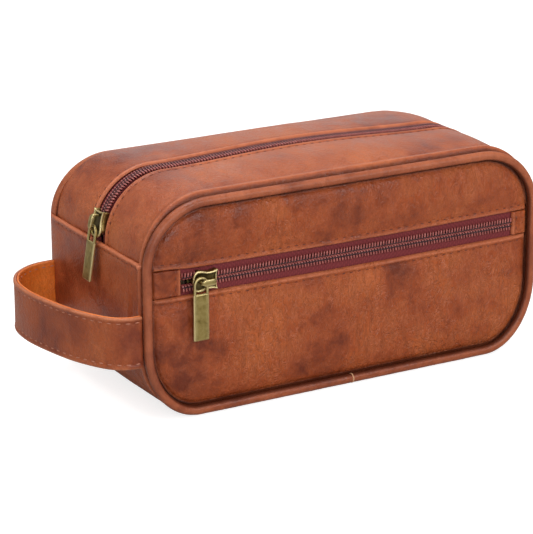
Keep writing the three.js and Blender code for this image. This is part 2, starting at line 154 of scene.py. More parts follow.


# %% [markdown]
# ## Leather, thread, tape, teeth and brass
# Waxed leather is not one colour: the dye pools in clouds tens of millimetres wide, a fine pebbled
# grain covers it, and wherever it is folded or rubbed it turns lighter. So the colour is a ramp over
# two sizes of noise, the grain and the creases are bump with light lines of painted highlight along
# them, and each mesh carries an attribute that tells the finish where its folded edges are, and where
# it tucks into a seam, which is painted dark as shade. Everything reads Object coordinates, so that
# the clouds run on from piece to piece.

# %% Material helpers
def new_finish(name):
    """An empty node material and its shader."""
    finish = bpy.data.materials.new(name)
    finish.use_nodes = True
    return finish, finish.node_tree.nodes["Principled BSDF"]


def node(finish, kind, inputs=None, **settings):
    """Adds a node; inputs maps a socket to a value or to another node's output."""
    new = finish.node_tree.nodes.new(kind)
    for key, value in settings.items():
        setattr(new, key, value)
    for key, value in (inputs or {}).items():
        if isinstance(value, bpy.types.NodeSocket):
            finish.node_tree.links.new(value, new.inputs[key])
        else:
            new.inputs[key].default_value = value
    return new


def link(finish, output, target):
    """Joins one socket to another."""
    finish.node_tree.links.new(output, target)


def object_place(finish):
    """The Object coordinates, so that a pattern runs on from piece to piece."""
    return node(finish, "ShaderNodeTexCoord").outputs["Object"]


def relief(finish, shader, height, strength, depth):
    """Turns a height into a bump of so many metres."""
    bumped = node(finish, "ShaderNodeBump", {"Height": height, "Strength": strength, "Distance": depth})
    link(finish, bumped.outputs[0], shader.inputs["Normal"])


def noise(finish, where, scale, detail=3.0, rough=0.55, twist=0.0):
    """A noise of so many lumps to a metre."""
    return node(finish, "ShaderNodeTexNoise", {"Vector": where, "Scale": scale, "Detail": detail,
                "Roughness": rough, "Distortion": twist}).outputs["Fac"]


def ramp(finish, value, stops):
    """A colour ramp; each stop is a place and a colour or a grey."""
    new = node(finish, "ShaderNodeValToRGB", {"Fac": value})
    band = new.color_ramp
    while len(band.elements) < len(stops):
        band.elements.new(0.5)
    for element, (place, colour) in zip(band.elements, stops):
        element.position = place
        grey = not isinstance(colour, tuple)
        element.color = (colour, colour, colour, 1) if grey else (*colour, 1)
    return new.outputs["Color"]


def mix(finish, share, a, b, blend="MIX"):
    """Mixes two colours; share, a and b are values or sockets."""
    return node(finish, "ShaderNodeMix", {0: share, 6: a, 7: b}, data_type="RGBA",
                blend_type=blend).outputs[2]


def sums(finish, a, b, how="ADD"):
    """Arithmetic on two values."""
    return node(finish, "ShaderNodeMath", {0: a, 1: b}, operation=how).outputs[0]


# %% Leather finishes
def leather(name, deep, body, light, edge, stretch=(1, 1, 1), shine=0.42, creases=0.5):
    """Dye clouds, small mottling, worn edges, painted shade where it tucks into a seam, pebble grain, and fine
    creases with painted highlights along them.
    """
    finish, shader = new_finish(name)
    where = object_place(finish)
    turned = node(finish, "ShaderNodeMapping", {"Vector": where, "Scale": stretch}).outputs[0]
    cloud = noise(finish, turned, 26, 2.6, 0.50, 0.3)
    mottle = noise(finish, turned, 88, 3.2, 0.58, 0.6)
    speck = noise(finish, where, 480, 3.0, 0.7)
    blend = sums(finish, sums(finish, cloud, 0.66, "MULTIPLY"), sums(finish, mottle, 0.34, "MULTIPLY"))
    colour = ramp(finish, blend, [(0.36, deep), (0.49, body), (0.64, light)])
    shade = ramp(finish, speck, [(0.34, 0.80), (0.66, 1.0)])
    colour = mix(finish, 1.0, colour, shade, "MULTIPLY")
    worn = node(finish, "ShaderNodeAttribute", attribute_name="wear_patina_and_shade").outputs["Fac"]
    rubbed = sums(finish, worn, ramp(finish, mottle, [(0.3, 0.45), (0.62, 1.0)]), "MULTIPLY")
    colour = mix(finish, rubbed, colour, (*edge, 1))
    # Painted shade: where the mark is negative, in the grooves beside the piping, the colour is pulled to a
    # dark red-brown.
    seam_shade = sums(finish, worn, -0.86, "MULTIPLY")
    colour = mix(finish, seam_shade, colour, (0.070, 0.013, 0.005, 1))
    cells = node(finish, "ShaderNodeTexVoronoi", {"Vector": where, "Scale": 950.0},
                 feature="SMOOTH_F1").outputs["Distance"]
    pores = noise(finish, where, 1500, 2.0, 0.5)
    slant = node(finish, "ShaderNodeMapping", {"Vector": where, "Rotation": (0.3, 0.9, 0.2),
                 "Scale": (1.0, 0.8, 0.45)}).outputs[0]
    crease = noise(finish, slant, 520, 3.0, 0.62, 1.6)
    crease = ramp(finish, crease, [(0.38, 0.0), (0.5, 1.0), (0.62, 0.0)])
    gate = ramp(finish, mottle, [(0.45, 0.0), (0.62, 1.0)])
    crease = sums(finish, crease, gate, "MULTIPLY")
    wisp = noise(finish, slant, 230, 3.5, 0.6, 1.2)
    wisp = ramp(finish, wisp, [(0.42, 0.0), (0.5, 1.0), (0.58, 0.0)])
    wisp = sums(finish, wisp, ramp(finish, cloud, [(0.42, 0.15), (0.60, 1.0)]), "MULTIPLY")
    # Painted highlight: light lines along the fine creases and wisps, mixed towards the edge colour.
    colour = mix(finish, sums(finish, wisp, 0.30 * creases, "MULTIPLY"), colour, (*edge, 1))
    colour = mix(finish, sums(finish, crease, 0.16 * creases, "MULTIPLY"), colour, (*edge, 1))
    link(finish, colour, shader.inputs["Base Color"])
    height = sums(finish, sums(finish, cells, 0.9, "MULTIPLY"), sums(finish, pores, 0.35, "MULTIPLY"))
    height = sums(finish, height, sums(finish, crease, creases, "MULTIPLY"), "SUBTRACT")
    height = sums(finish, height, sums(finish, wisp, 2.4 * creases, "MULTIPLY"), "SUBTRACT")
    relief(finish, shader, height, 0.75, 0.00032)
    gloss = sums(finish, mottle, speck, "MULTIPLY")
    gloss = ramp(finish, gloss, [(0.15, shine - 0.07), (0.36, shine + 0.08)])
    link(finish, gloss, shader.inputs["Roughness"])
    shader.inputs["Specular IOR Level"].default_value = 0.32
    return finish


cognac = leather("cognac_leather", (0.155, 0.025, 0.0070), (0.345, 0.066, 0.0145),
                 (0.480, 0.112, 0.026), (0.60, 0.180, 0.080), (1, 1, 1), 0.36, 0.9)
smooth_cognac = leather("cognac_leather_smooth", (0.200, 0.036, 0.014), (0.360, 0.080, 0.026),
                        (0.480, 0.122, 0.038), (0.58, 0.175, 0.080), (1, 0.7, 1), 0.38, 0.3)
piping_hide = leather("cognac_leather_piping", (0.19, 0.038, 0.014), (0.33, 0.078, 0.027),
                      (0.43, 0.115, 0.042), (0.50, 0.160, 0.080), (1, 1, 1), 0.36, 0.12)
strap_hide = leather("cognac_leather_strap", (0.19, 0.032, 0.010), (0.335, 0.070, 0.019),
                     (0.44, 0.105, 0.029), (0.56, 0.190, 0.085), (1, 1, 0.6), 0.40, 0.4)
# Painted light: the strap's own leather with much brighter colours, standing in for the light on its inner
# face.
strap_hide_painted_light = leather("strap_leather_painted_light", (0.60, 0.105, 0.010), (0.80, 0.170, 0.018),
                    (0.88, 0.230, 0.030), (0.80, 0.270, 0.090), (1, 1, 0.6), 0.55, 0.3)


# %% Thread, cloth, tape, teeth, metal and inner finishes
def woven(name, dark, light, pitch, rough=0.85, slope=0.0005):
    """A plain weave: two crossed waves of the piece's own length and width."""
    finish, shader = new_finish(name)
    where = node(finish, "ShaderNodeUVMap", uv_map="length_width").outputs[0]
    waves = {"Vector": where, "Scale": 1.0 / pitch / (2 * math.pi), "Distortion": 0.6}
    one, two = (node(finish, "ShaderNodeTexWave", waves, wave_type="BANDS",
                     bands_direction=way).outputs["Fac"] for way in ("X", "DIAGONAL"))
    weave = sums(finish, one, two, "MULTIPLY")
    fuzz = noise(finish, where, 900, 2.0)
    shade = sums(finish, sums(finish, weave, 0.7, "MULTIPLY"), sums(finish, fuzz, 0.3, "MULTIPLY"))
    colour = ramp(finish, shade, [(0.05, dark), (0.75, light)])
    link(finish, colour, shader.inputs["Base Color"])
    relief(finish, shader, weave, 0.5, slope)
    shader.inputs["Roughness"].default_value = rough
    return finish


def plain_grain(name, dark, light, scale, rough, depth=0.0002):
    """A grainy stuff with no direction, such as foam, board, cotton or thread."""
    finish, shader = new_finish(name)
    where = object_place(finish)
    lumps = noise(finish, where, scale, 4.0, 0.6)
    link(finish, ramp(finish, lumps, [(0.3, dark), (0.7, light)]), shader.inputs["Base Color"])
    relief(finish, shader, lumps, 0.5, depth)
    shader.inputs["Roughness"].default_value = rough
    return finish


tape_cloth = woven("burgundy_zip_tape", (0.135, 0.012, 0.015), (0.215, 0.026, 0.029), 0.0007, 0.8,
                   0.0002)
lining_cloth = woven("lining_twill", (0.10, 0.055, 0.03), (0.24, 0.15, 0.09), 0.0008)
thread = plain_grain("sewing_thread", (0.085, 0.014, 0.006), (0.19, 0.040, 0.016), 1800, 0.6, 0.0001)
pale_thread = plain_grain("sewing_thread_pale", (0.36, 0.12, 0.065), (0.56, 0.24, 0.15), 1800, 0.6,
                          0.0001)
zip_thread = plain_grain("zip_sewing_thread", (0.016, 0.0015, 0.003), (0.050, 0.006, 0.009), 1500, 0.75,
                         0.0001)
foam = plain_grain("padding_foam", (0.55, 0.50, 0.40), (0.72, 0.67, 0.55), 900, 0.9)
sleeve_cloth = plain_grain("lining_cloth_sleeve", (0.030, 0.024, 0.020), (0.060, 0.048, 0.040), 900, 0.9)
board = plain_grain("stiffener_board", (0.20, 0.15, 0.10), (0.34, 0.27, 0.18), 300, 0.85)
raw_edge = plain_grain("raw_leather_edge", (0.50, 0.26, 0.13), (0.78, 0.47, 0.27), 1200, 0.8)
cotton = plain_grain("cotton_cord", (0.55, 0.50, 0.42), (0.78, 0.73, 0.64), 1200, 0.9)


def nylon():
    """Burgundy moulded teeth: glossy, slightly uneven in tone."""
    finish, shader = new_finish("burgundy_nylon_teeth")
    where = object_place(finish)
    tone = noise(finish, where, 400, 2.0)
    dye = ramp(finish, tone, [(0.3, (0.26, 0.060, 0.055)), (0.7, (0.44, 0.135, 0.115))])
    link(finish, dye, shader.inputs["Base Color"])
    shader.inputs["Roughness"].default_value = 0.26
    return finish


def brass():
    """Antique brass: yellow-grey where rubbed, nearly black where the patina stays."""
    finish, shader = new_finish("antique_brass")
    where = object_place(finish)
    patina = noise(finish, where, 260, 4.0, 0.6, 0.4)
    brushed = node(finish, "ShaderNodeMapping", {"Vector": where, "Scale": (1, 1, 0.12)}).outputs[0]
    scratch = noise(finish, brushed, 2600, 2.0)
    worn = node(finish, "ShaderNodeAttribute", attribute_name="wear_patina_and_shade").outputs["Fac"]
    plate = ramp(finish, patina, [(0.30, (0.18, 0.130, 0.038)), (0.5, (0.33, 0.250, 0.085)),
                 (0.72, (0.44, 0.345, 0.135))])
    plate = mix(finish, worn, plate, (0.78, 0.66, 0.34, 1))
    sunk = sums(finish, worn, -1.0, "MULTIPLY")
    plate = mix(finish, sunk, plate, (0.035, 0.026, 0.014, 1))
    link(finish, plate, shader.inputs["Base Color"])
    shader.inputs["Metallic"].default_value = 1.0
    dull = ramp(finish, scratch, [(0.3, 0.34), (0.7, 0.50)])
    link(finish, dull, shader.inputs["Roughness"])
    relief(finish, shader, scratch, 0.15, 0.00005)
    return finish


teeth_nylon = nylon()
old_brass = brass()
print("finishes:", len(bpy.data.materials))

# %% [markdown]
# ## The outline every leather piece follows
# Seen from the front the bag is a rounded box: corners of one radius at the top, and longer, softer
# ones at the bottom. A path round part of it, with its outward direction at every station, carries
# the band, the strips, the zip and the piping, so they all nest exactly.

# %% Outlines
HALF = 130.0                  # half the body's length
ARCH_TOP = 127.9              # the top strips' plain level, and the radius of their corners
ARCH_RADIUS = 38.9
CUP_RADII = (33.5, 44.0)      # how wide and how high a bottom corner is
SEAM = 91.7                   # where the band laps the top strips


def bow(half, end, flat, reach, rise, step=1.9, spare=()):
    """Stations from (-half, end) round by the level z = flat to (half, end).
    The corners are quarter ellipses, reach wide and rise high. Returns places and outward directions,
    evenly spaced, with the extra distances in spare added at both ends."""
    up = np.sign(flat - end)
    turn = np.linspace(0, math.pi / 2, 240)
    left_x = -half + reach - reach * np.cos(turn)
    left_z = flat - up * rise + up * rise * np.sin(turn)
    x = np.concatenate([[-half], left_x, -left_x[::-1], [half]])
    z = np.concatenate([[end], left_z, left_z[::-1], [end]])
    length = np.concatenate([[0], np.cumsum(np.hypot(np.diff(x), np.diff(z)))])
    at = np.linspace(0, length[-1], int(length[-1] / step) + 1)
    at = np.unique(np.concatenate([at, spare, length[-1] - np.array(spare)]))
    px = np.interp(at, length, x)
    pz = np.interp(at, length, z)
    ahead_x = np.interp(at + 0.4, length, x) - np.interp(at - 0.4, length, x)
    ahead_z = np.interp(at + 0.4, length, z) - np.interp(at - 0.4, length, z)
    size = np.hypot(ahead_x, ahead_z)
    out = np.stack([-ahead_z * up, ahead_x * up], 1) / size[:, None]
    return np.stack([px, pz], 1), out, at, length[-1]


def crown(x, y):
    """How far the top stands over its edge line: (3 + 3(1 - (x/91.1)^2)^2)(1 - ((|y| - 12)/43.5)^2)."""
    along = np.minimum(np.abs(x) / (HALF - ARCH_RADIUS), 1)
    aside = np.maximum(np.abs(y) - 12.0, 0) / 43.5
    return (3 + 3 * (1 - along ** 2) ** 2) * (1 - aside ** 2)


def carried(path, out, y, proud, lift=True):
    """Points (stations, columns, 3): each station moved by proud along its outward direction."""
    y, proud = np.broadcast_arrays(y, proud)
    x = path[:, 0, None] + out[:, 0, None] * proud
    z = path[:, 1, None] + out[:, 1, None] * proud
    if lift:
        z = z + crown(x, y)
    return np.stack([x, np.broadcast_to(y, x.shape), z], -1)


NEAR_END = (0.15, 0.45, 0.9, 1.5, 2.2, 3.0, 3.8, 4.8)
arch, arch_out, arch_at, arch_long = bow(HALF, SEAM - 10, ARCH_TOP, ARCH_RADIUS, ARCH_RADIUS)
cup, cup_out, cup_at, cup_long = bow(HALF, SEAM, 0.0, *CUP_RADII, 2.2, NEAR_END)
print("top strip runs", round(arch_long), "mm and the band", round(cup_long), "mm")

# %% [markdown]
# ## The band up the ends and under the bottom
# On the real bag this is one long piece of leather, sewn to the face panels under the piping and
# folded over at its two ends, where it laps the top strips. It is drawn as a closed section, outer
# face, rounded edge, inner face, carried along the path: a ridge beside the piping where the seam
# allowance lies under it, a slight slackness, one soft crease on the end, and a thick folded end.

# %% Side band
BAND_Y = 55.5
LEATHER = 1.6
SEAM_ROLL = np.array([51.3, 52.3, 53.1, 53.7, 54.2, 54.6, 55.0, 55.35, 55.7, 56.0])
FAR_ROLL = [50, 51.5, 53, 54.5, 56, 57.3, 58.4, 59.2, 59.7, 60.1, 60.4]
FOLD_STEPS = np.array([0, 0.12, 0.4, 0.8, 1.3, 1.9, 2.5, 3.0, 3.5])


def section(columns, thick, face, taper):
    """A closed section: the outer face over the columns, then the inner face back again.
    taper, 0 at an end of the piece and 1 inside it, brings both faces to the middle."""
    middle = -thick / 2
    outer = middle + (face - middle) * taper
    inner = middle + (-thick - middle) * taper
    y = np.concatenate([columns, columns[::-1]])
    proud = np.concatenate([outer, np.broadcast_to(inner, outer.shape)[:, ::-1]], 1)
    return y, proud


def fold_edge(distance, roll=0.75, width=1.5):
    """A folded edge stands proud by a bell close to it, and dips at the row of stitches."""
    return roll * bump(distance, 1.5, width) - 0.35 * bump(distance, 3.5, 0.8)


def round_over(distance, radius=1.2):
    """0 at the very edge to 1 one radius in, along a quarter circle."""
    share = np.clip(distance / radius, 0, 1)
    return np.sqrt(np.maximum(1 - (1 - share) ** 2, 0.0))


columns = np.concatenate([-SEAM_ROLL[::-1], [-50.2], np.linspace(-48.5, 48.5, 56), FAR_ROLL])
from_end = np.minimum(cup_at, cup_long - cup_at)[:, None]
on_side = ease(cup[:, 1] / 30.0)[:, None]
beside = np.abs(columns)[None, :]
near_side = ease(0.5 - columns / 20.0)[None, :]


def seam_crest(beside, near_side):
    """Towards the near piping the leather climbs to a crest and turns down steeply into the seam;
    on the far side it rounds over the piping, by 0.9 mm at the edge."""
    climb = 1.3 * ease((beside - 50.2) / 2.6) - 5.2 * np.clip((beside - 54.3) / 1.7, 0, 1) ** 2.2
    roll = -0.9 * np.clip((beside - 50.0) / 10.0, 0, 1) ** 2.2
    roll = roll - 1.1 * np.clip((beside - 59.2) / 1.2, 0, 1) ** 2
    return near_side * climb + (1 - near_side) * roll


ridge = seam_crest(beside, near_side)
cup_on, band_on = cup_at[:, None], columns[None, :]
slack = 0.55 * ripple(cup_on, band_on, 11, 62) + 0.14 * ripple(cup_on, band_on, 12, 17)
crease = -0.55 * bump(band_on + 42.5 + 0.012 * cup_on, 0, 1.4)
crease = crease + 0.25 * bump(band_on + 39.4 + 0.012 * cup_on, 0, 1.6)
crease = crease * (cup[:, :1] < 0)
belly = 0.7 * on_side * (1 - (beside / BAND_Y) ** 2)
ridge = ridge * on_side + np.minimum(ridge, 0) * (1 - on_side)
face = ridge + (slack * 0.8 + crease) * on_side * ease((52 - beside) / 8) + belly
face = face - 0.25 * (1 - on_side) * (1 + ripple(cup_on, band_on, 13, 45))
face = face + fold_edge(from_end, 0.5, 1.2) * on_side
BAND_FACE = face
y, proud = section(columns, LEATHER, face, round_over(from_end, 1.1))
# Painted shade: where the band tucks into the seam beside the near piping, its mark goes to -1 and the finish
# paints it dark.
tuck_shade = near_side * ease((beside - 54.9) / 0.7)
band_rub = np.clip(bump(from_end, 0.9, 1.0) + 0.5 * near_side * bump(beside, 53.9, 0.8), 0, 1)
band_edge = band_rub * (1 - tuck_shade) - tuck_shade + 0 * face
band_edge = np.concatenate([band_edge, 0 * face], 1)
band_points = carried(cup, cup_out, y[None, :], proud, False)
piece("side_band", [grid(band_points, wrap=True, edge=band_edge)], smooth_cognac,
      replaces=["side_gusset"])

# %% [markdown]
# ## The two top strips
# They run from inside one end seam, over the top, to inside the other. The edge beside the zip is
# folded under and stitched, the other edge climbs a little where it meets the piping. The same
# section idea is used, with the folded edge now on one side.

# %% Top strips
STRIP_IN = 1.9
WINDOW = 7.4


def strip_face(y_abs, along, seed, near):
    """Height of a strip's face over its plain place, from its distance to the zip and the piping."""
    distance = y_abs - WINDOW
    rise = seam_crest(y_abs, near) + 0.9 * near * ease((y_abs - 49.0) / 5.0)
    loose = 0.45 * ripple(along, y_abs, seed, 58) + 0.12 * ripple(along, y_abs, seed + 1, 16)
    loose = loose * ease((52 - y_abs) / 7) * ease((distance - 3) / 8)
    pillow = 0.7 * np.sin(np.clip((y_abs - 11) / 40, 0, 1) * math.pi)
    return rise + loose + pillow + fold_edge(distance, 0.55, 1.3)


zip_side = np.concatenate([WINDOW + np.append(FOLD_STEPS, [4.0, 4.6, 5.6]), np.linspace(14.6, 48.5, 22)])
near_strip = np.concatenate([zip_side, [49.4, 50.3], SEAM_ROLL])
far_strip = np.concatenate([zip_side, FAR_ROLL])


def top_strip(name, side, seed, node_name):
    """A strip of the top, on the front side or the back side of the zip."""
    near, wide = (1.0, near_strip) if side < 0 else (0.0, far_strip)
    distance = wide[None, :] - WINDOW
    face = strip_face(wide[None, :], arch_at[:, None], seed, near)
    face = face - 0.8 * (1 - near) * ease((wide - 50) / 10)
    y, proud = section(wide, LEATHER, face, round_over(distance, 1.1) * np.ones_like(face))
    points = carried(arch, arch_out, side * y[None, :], proud - STRIP_IN)
    rub = 0.85 * bump(distance, 0.8, 1.2) + 0.5 * near * bump(wide[None, :], 53.9, 0.8)
    # Painted shade: the strip's edge that tucks into the seam beside the near piping is marked -1 and painted
    # dark.
    tuck_shade = near * ease((wide[None, :] - 54.9) / 0.7)
    edge = np.concatenate([rub * (1 - tuck_shade) - tuck_shade + 0 * face, 0 * face], 1)
    return piece(name, [grid(points, wrap=True, edge=edge)], smooth_cognac,
                 replaces=[node_name])


top_strip("top_strip_near", -1, 21, "top_strip_front")
top_strip("top_strip_far", 1, 31, "top_strip_back")

# %% [markdown]
# ## Panels of the front and the back
# A panel is a closed skin on a grid of columns: each column runs from the panel's lower line to its
# upper line and back behind. Its height over the seam plane depends on the distance to its edge, so
# it tucks in beside the piping, swells like upholstery a little further in, and rolls at folded edges.

# %% Panel shapes
PANEL_Y = 57.4


def corner_distance(x, z, half, low, high, top, bottom):
    """Distance to the edge of a rounded box, negative outside; top and bottom are corner radii."""
    px = np.abs(x)

    def one(reach, rise, dz):
        dx = np.maximum(px - (half - reach), 0)
        share = np.hypot(dx / reach, dz / rise)
        slope = np.hypot(dx / reach ** 2, dz / rise ** 2) / np.maximum(share, 1e-6)
        return np.where((dx > 0) & (dz > 0), (1 - share) / np.maximum(slope, 1e-6), 1e3)

    up = one(*top, np.maximum(z - (high - top[1]), 0))
    down = one(*bottom, np.maximum((low + bottom[1]) - z, 0))
    straight = np.minimum(half - px, np.minimum(high - z, z - low))
    return np.minimum(np.minimum(up, down), straight)


PANEL = {"half": 124.8, "low": 6.6, "high": 119.9, "top": (33.7, 30.9), "bottom": (28.3, 37.4)}


def panel_limits(x):
    """The lowest and the highest z of the panel outline at x."""
    px = np.abs(x)
    over = np.clip((px - (PANEL["half"] - PANEL["top"][0])) / PANEL["top"][0], 0, 1)
    high = PANEL["high"] - PANEL["top"][1] * (1 - np.sqrt(1 - over ** 2))
    under = np.clip((px - (PANEL["half"] - PANEL["bottom"][0])) / PANEL["bottom"][0], 0, 1)
    low = PANEL["low"] + PANEL["bottom"][1] * (1 - np.sqrt(1 - under ** 2))
    return low, high


def sag(x, side):
    """How far a fold line hangs below its straight line; the upper one also climbs at the left."""
    return -0.9 * bump(x, 15, 75) + (1.4 * ease((-96 - x) / 24) if side > 0 else 0)


def panel_swell(x, z, seed, most, folded):
    """Height over the seam plane: a quarter ellipse that fills over 15 mm from the edge, unevenness,
    and a rolled edge at each folded line, given as (z of the line, side it lies on)."""
    to_edge = np.maximum(corner_distance(x, z, **PANEL), 0)
    fill = round_over(to_edge - 1.1, 15.0)
    loose = 0.26 * ripple(x, z, seed, 48) + 0.10 * ripple(x, z, seed + 1, 15)
    pleat = 0.12 * ripple(x, z * 0.15, seed + 2, 8.0) * bump(to_edge, 7.0, 5.0)
    height = most * fill + (loose - 0.2) * ease(to_edge / 9) + pleat
    for line, side in folded:
        away = np.maximum((z - line - sag(x, side)) * side, 0)
        tuck = round_over(to_edge, 3.0)
        height = height * (0.46 + 0.54 * ease(away / 15)) + tuck * fold_edge(away, 0.85, 1.35)
        height = height * round_over(away, 1.5)
    return height


def graded(first, last, count, fine=(0, 0.12, 0.4, 0.8, 1.3, 1.9, 2.6, 3.3, 4.1, 5.2), ends=3):
    """Numbers from first to last, close together near the ends that are asked for."""
    fine = np.array(fine)
    near = first + fine if ends & 1 else np.array([first])
    far = last - fine[::-1] if ends & 2 else np.array([last])
    middle = np.linspace(near[-1], far[0], count)[1:-1]
    return np.concatenate([near, middle, far])


def panel_grid(columns, shares, lower, upper, height, rub, side=-1):
    """A closed skin. shares, 0 to 1, place the rows of every column between lower(x) and upper(x)."""
    x = columns[:, None] + 0 * shares[None, :]
    low, high = lower(columns)[:, None], upper(columns)[:, None]
    z = low + (high - low) * shares[None, :]
    front = np.maximum(height(x, z), 0.03)
    front[:, 0] = front[:, -1] = 0.03
    front[0, :] = front[-1, :] = 0.03
    near = np.stack([x, side * (PANEL_Y + front), z], -1)
    back = np.stack([x, side * (PANEL_Y + 0 * x), z], -1)[:, ::-1]
    edge = rub(x, z)
    return grid(np.concatenate([near, back], 1), wrap=True, edge=np.concatenate([edge, 0 * edge], 1))


def edge_wear_and_shade(lines):
    """How worn a panel is: along its folded lines, given as (z, side), and painted shade where it tucks in."""
    def rub(x, z):
        # Painted shade: dark along the panel's outline, where it tucks in under the piping.
        tuck_shade = 1 - ease((corner_distance(x, z, **PANEL) - 0.2) / 1.1)
        worn = 0 * tuck_shade
        for line, side in lines:
            away = np.maximum((z - line - sag(x, side)) * side, 0)
            worn = worn + 0.9 * bump(away, 0.7, 1.1)
            tuck_shade = tuck_shade * (1 - bump(away, 0, 1.5) * ease((124 - np.abs(x)) / 1.5))
        return worn * (1 - tuck_shade) - tuck_shade
    return rub


ROUND = np.array([0, 0.1, 0.35, 0.8, 1.4, 2.2, 3.2, 4.4, 5.8, 7.4, 9.2, 11.2, 13.5, 16, 19, 22, 25.5, 29])
half_columns = np.concatenate([ROUND, np.linspace(32, 124.8, 48)])
panel_columns = np.concatenate([-PANEL["half"] + half_columns, (PANEL["half"] - half_columns)[::-1][1:]])
print("panel grid has", len(panel_columns), "columns")


# %% Front and back panels
UPPER_LINE = 86.4
LOWER_LINE = 71.6


def upper_height(x, z):
    """The swell of the panel above the pocket's zip."""
    return panel_swell(x, z, 41, 4.0, [(UPPER_LINE, 1)])


def lower_height(x, z):
    """The swell of the pocket's face."""
    return panel_swell(x, z, 51, 3.6, [(LOWER_LINE, -1)])


def back_height(x, z):
    """The swell of the back panel."""
    return panel_swell(x, z, 61, 4.2, [])


def rows(low, high, ends):
    """Row shares that are fine near both ends of a column low to high."""
    return (graded(low, high, 34, ends=ends) - low) / (high - low)


upper_low = lambda x: UPPER_LINE + sag(x, 1)
upper_high = lambda x: np.maximum(panel_limits(x)[1], UPPER_LINE + 2.7)
lower_low = lambda x: panel_limits(x)[0]
lower_high = lambda x: LOWER_LINE + sag(x, -1)

upper = panel_grid(panel_columns, rows(UPPER_LINE, PANEL["high"], 3), upper_low, upper_high,
                   upper_height, edge_wear_and_shade([(UPPER_LINE, 1)]))
piece("front_panel_top", [upper], cognac, replaces=["front_panel_upper"])
lower = panel_grid(panel_columns, rows(PANEL["low"], LOWER_LINE, 3), lower_low, lower_high,
                   lower_height, edge_wear_and_shade([(LOWER_LINE, -1)]))
piece("front_panel_pocket", [lower], cognac, replaces=["front_panel_lower"])
back = panel_grid(panel_columns, rows(PANEL["low"], PANEL["high"], 3), lower_low,
                  lambda x: panel_limits(x)[1], back_height, edge_wear_and_shade([]), 1)
piece("back_panel_skin", [back], cognac, replaces=["back_panel"])

# %% [markdown]
# ## The small tabs that close the pocket zip
# A leather tab covers each end of the pocket zip. Its inner edge is folded and stitched, its outer
# edge goes under the piping, so it is a small panel of the same kind, turned on its side.

# %% Zip tabs
TAB_LOW = 71.95
TAB_HIGH = 86.05


def tab(name, inner_x, side, node_name):
    """A tab from inner_x to the outline; side is -1 for the left one. Returns its height formula."""
    outer_x = side * PANEL["half"]
    wide = abs(outer_x - inner_x)
    columns = np.sort(inner_x + side * graded(0, wide, 14, ends=1))

    def height(x, z):
        away = (x - inner_x) * side
        to_edge = np.maximum(wide - away, 0)
        body = 1.45 * round_over(away, 1.2) * round_over(to_edge, 2.0)
        ends = round_over(np.minimum(z - TAB_LOW, TAB_HIGH + sag(x, 1) - z), 0.5)
        return (body + fold_edge(away, 0.5, 1.1) * (away > 0)) * ends

    def rub(x, z):
        return 0.9 * bump((x - inner_x) * side, 0.7, 1.1) + 0 * z

    skin = panel_grid(columns, rows(TAB_LOW, TAB_HIGH, 3), lambda x: np.full_like(x, TAB_LOW),
                      lambda x: TAB_HIGH + sag(x, 1), height, rub)
    piece(name, [skin], cognac, replaces=[node_name])
    return height


tab_left_height = tab("zip_tab_left", -107.5, -1, "front_tab_left")
tab_right_height = tab("zip_tab_right", 114.5, 1, "front_tab_right")

# %% [markdown]
# ## Corded piping
# A strip of leather is wrapped round a cotton cord and sewn into each face seam, so it looks like a
# tube that follows the outline. Where leather bends round a cord it draws fine cross folds, most on
# the corners, and its two ends meet under the bag in a cut joint.

# %% Piping
def closed_outline(half, low, high, top, bottom, step):
    """Evenly spaced stations of a rounded box, from the middle of its bottom to the right: x, z,
    the outward direction, the distance from the start, and the whole length."""
    turn = np.linspace(0, math.pi / 2, 160)
    bx = half - bottom[0] + bottom[0] * np.sin(turn)
    bz = low + bottom[1] - bottom[1] * np.cos(turn)
    tx = half - top[0] + top[0] * np.cos(turn)
    tz = high - top[1] + top[1] * np.sin(turn)
    x = np.concatenate([[0], bx, tx, -tx[::-1], -bx[::-1], [0]])
    z = np.concatenate([[low], bz, tz, tz[::-1], bz[::-1], [low]])
    keep = np.concatenate([[True], np.hypot(np.diff(x), np.diff(z)) > 1e-9])
    x, z = x[keep], z[keep]
    length = np.concatenate([[0], np.cumsum(np.hypot(np.diff(x), np.diff(z)))])
    at = np.linspace(0, length[-1], int(length[-1] / step))
    ahead = np.stack([np.interp((at + 0.5) % length[-1], length, v) -
                      np.interp((at - 0.5) % length[-1], length, v) for v in (x, z)], 1)
    ahead /= np.linalg.norm(ahead, axis=1)[:, None]
    out = np.stack([ahead[:, 1], -ahead[:, 0]], 1)
    return np.interp(at, length, x), np.interp(at, length, z), out, at, length[-1]


PIPING_Y = 59.0               # depth of the piping's middle line
PIPING_LOW = 3.0              # height of that line under the bag
JOINT = 3.2                   # how far right of the middle its two ends meet
PIPING_LINE = closed_outline(128.4, PIPING_LOW, 123.5, (37.3, 34.5), (31.9, 41.0), 1.25)


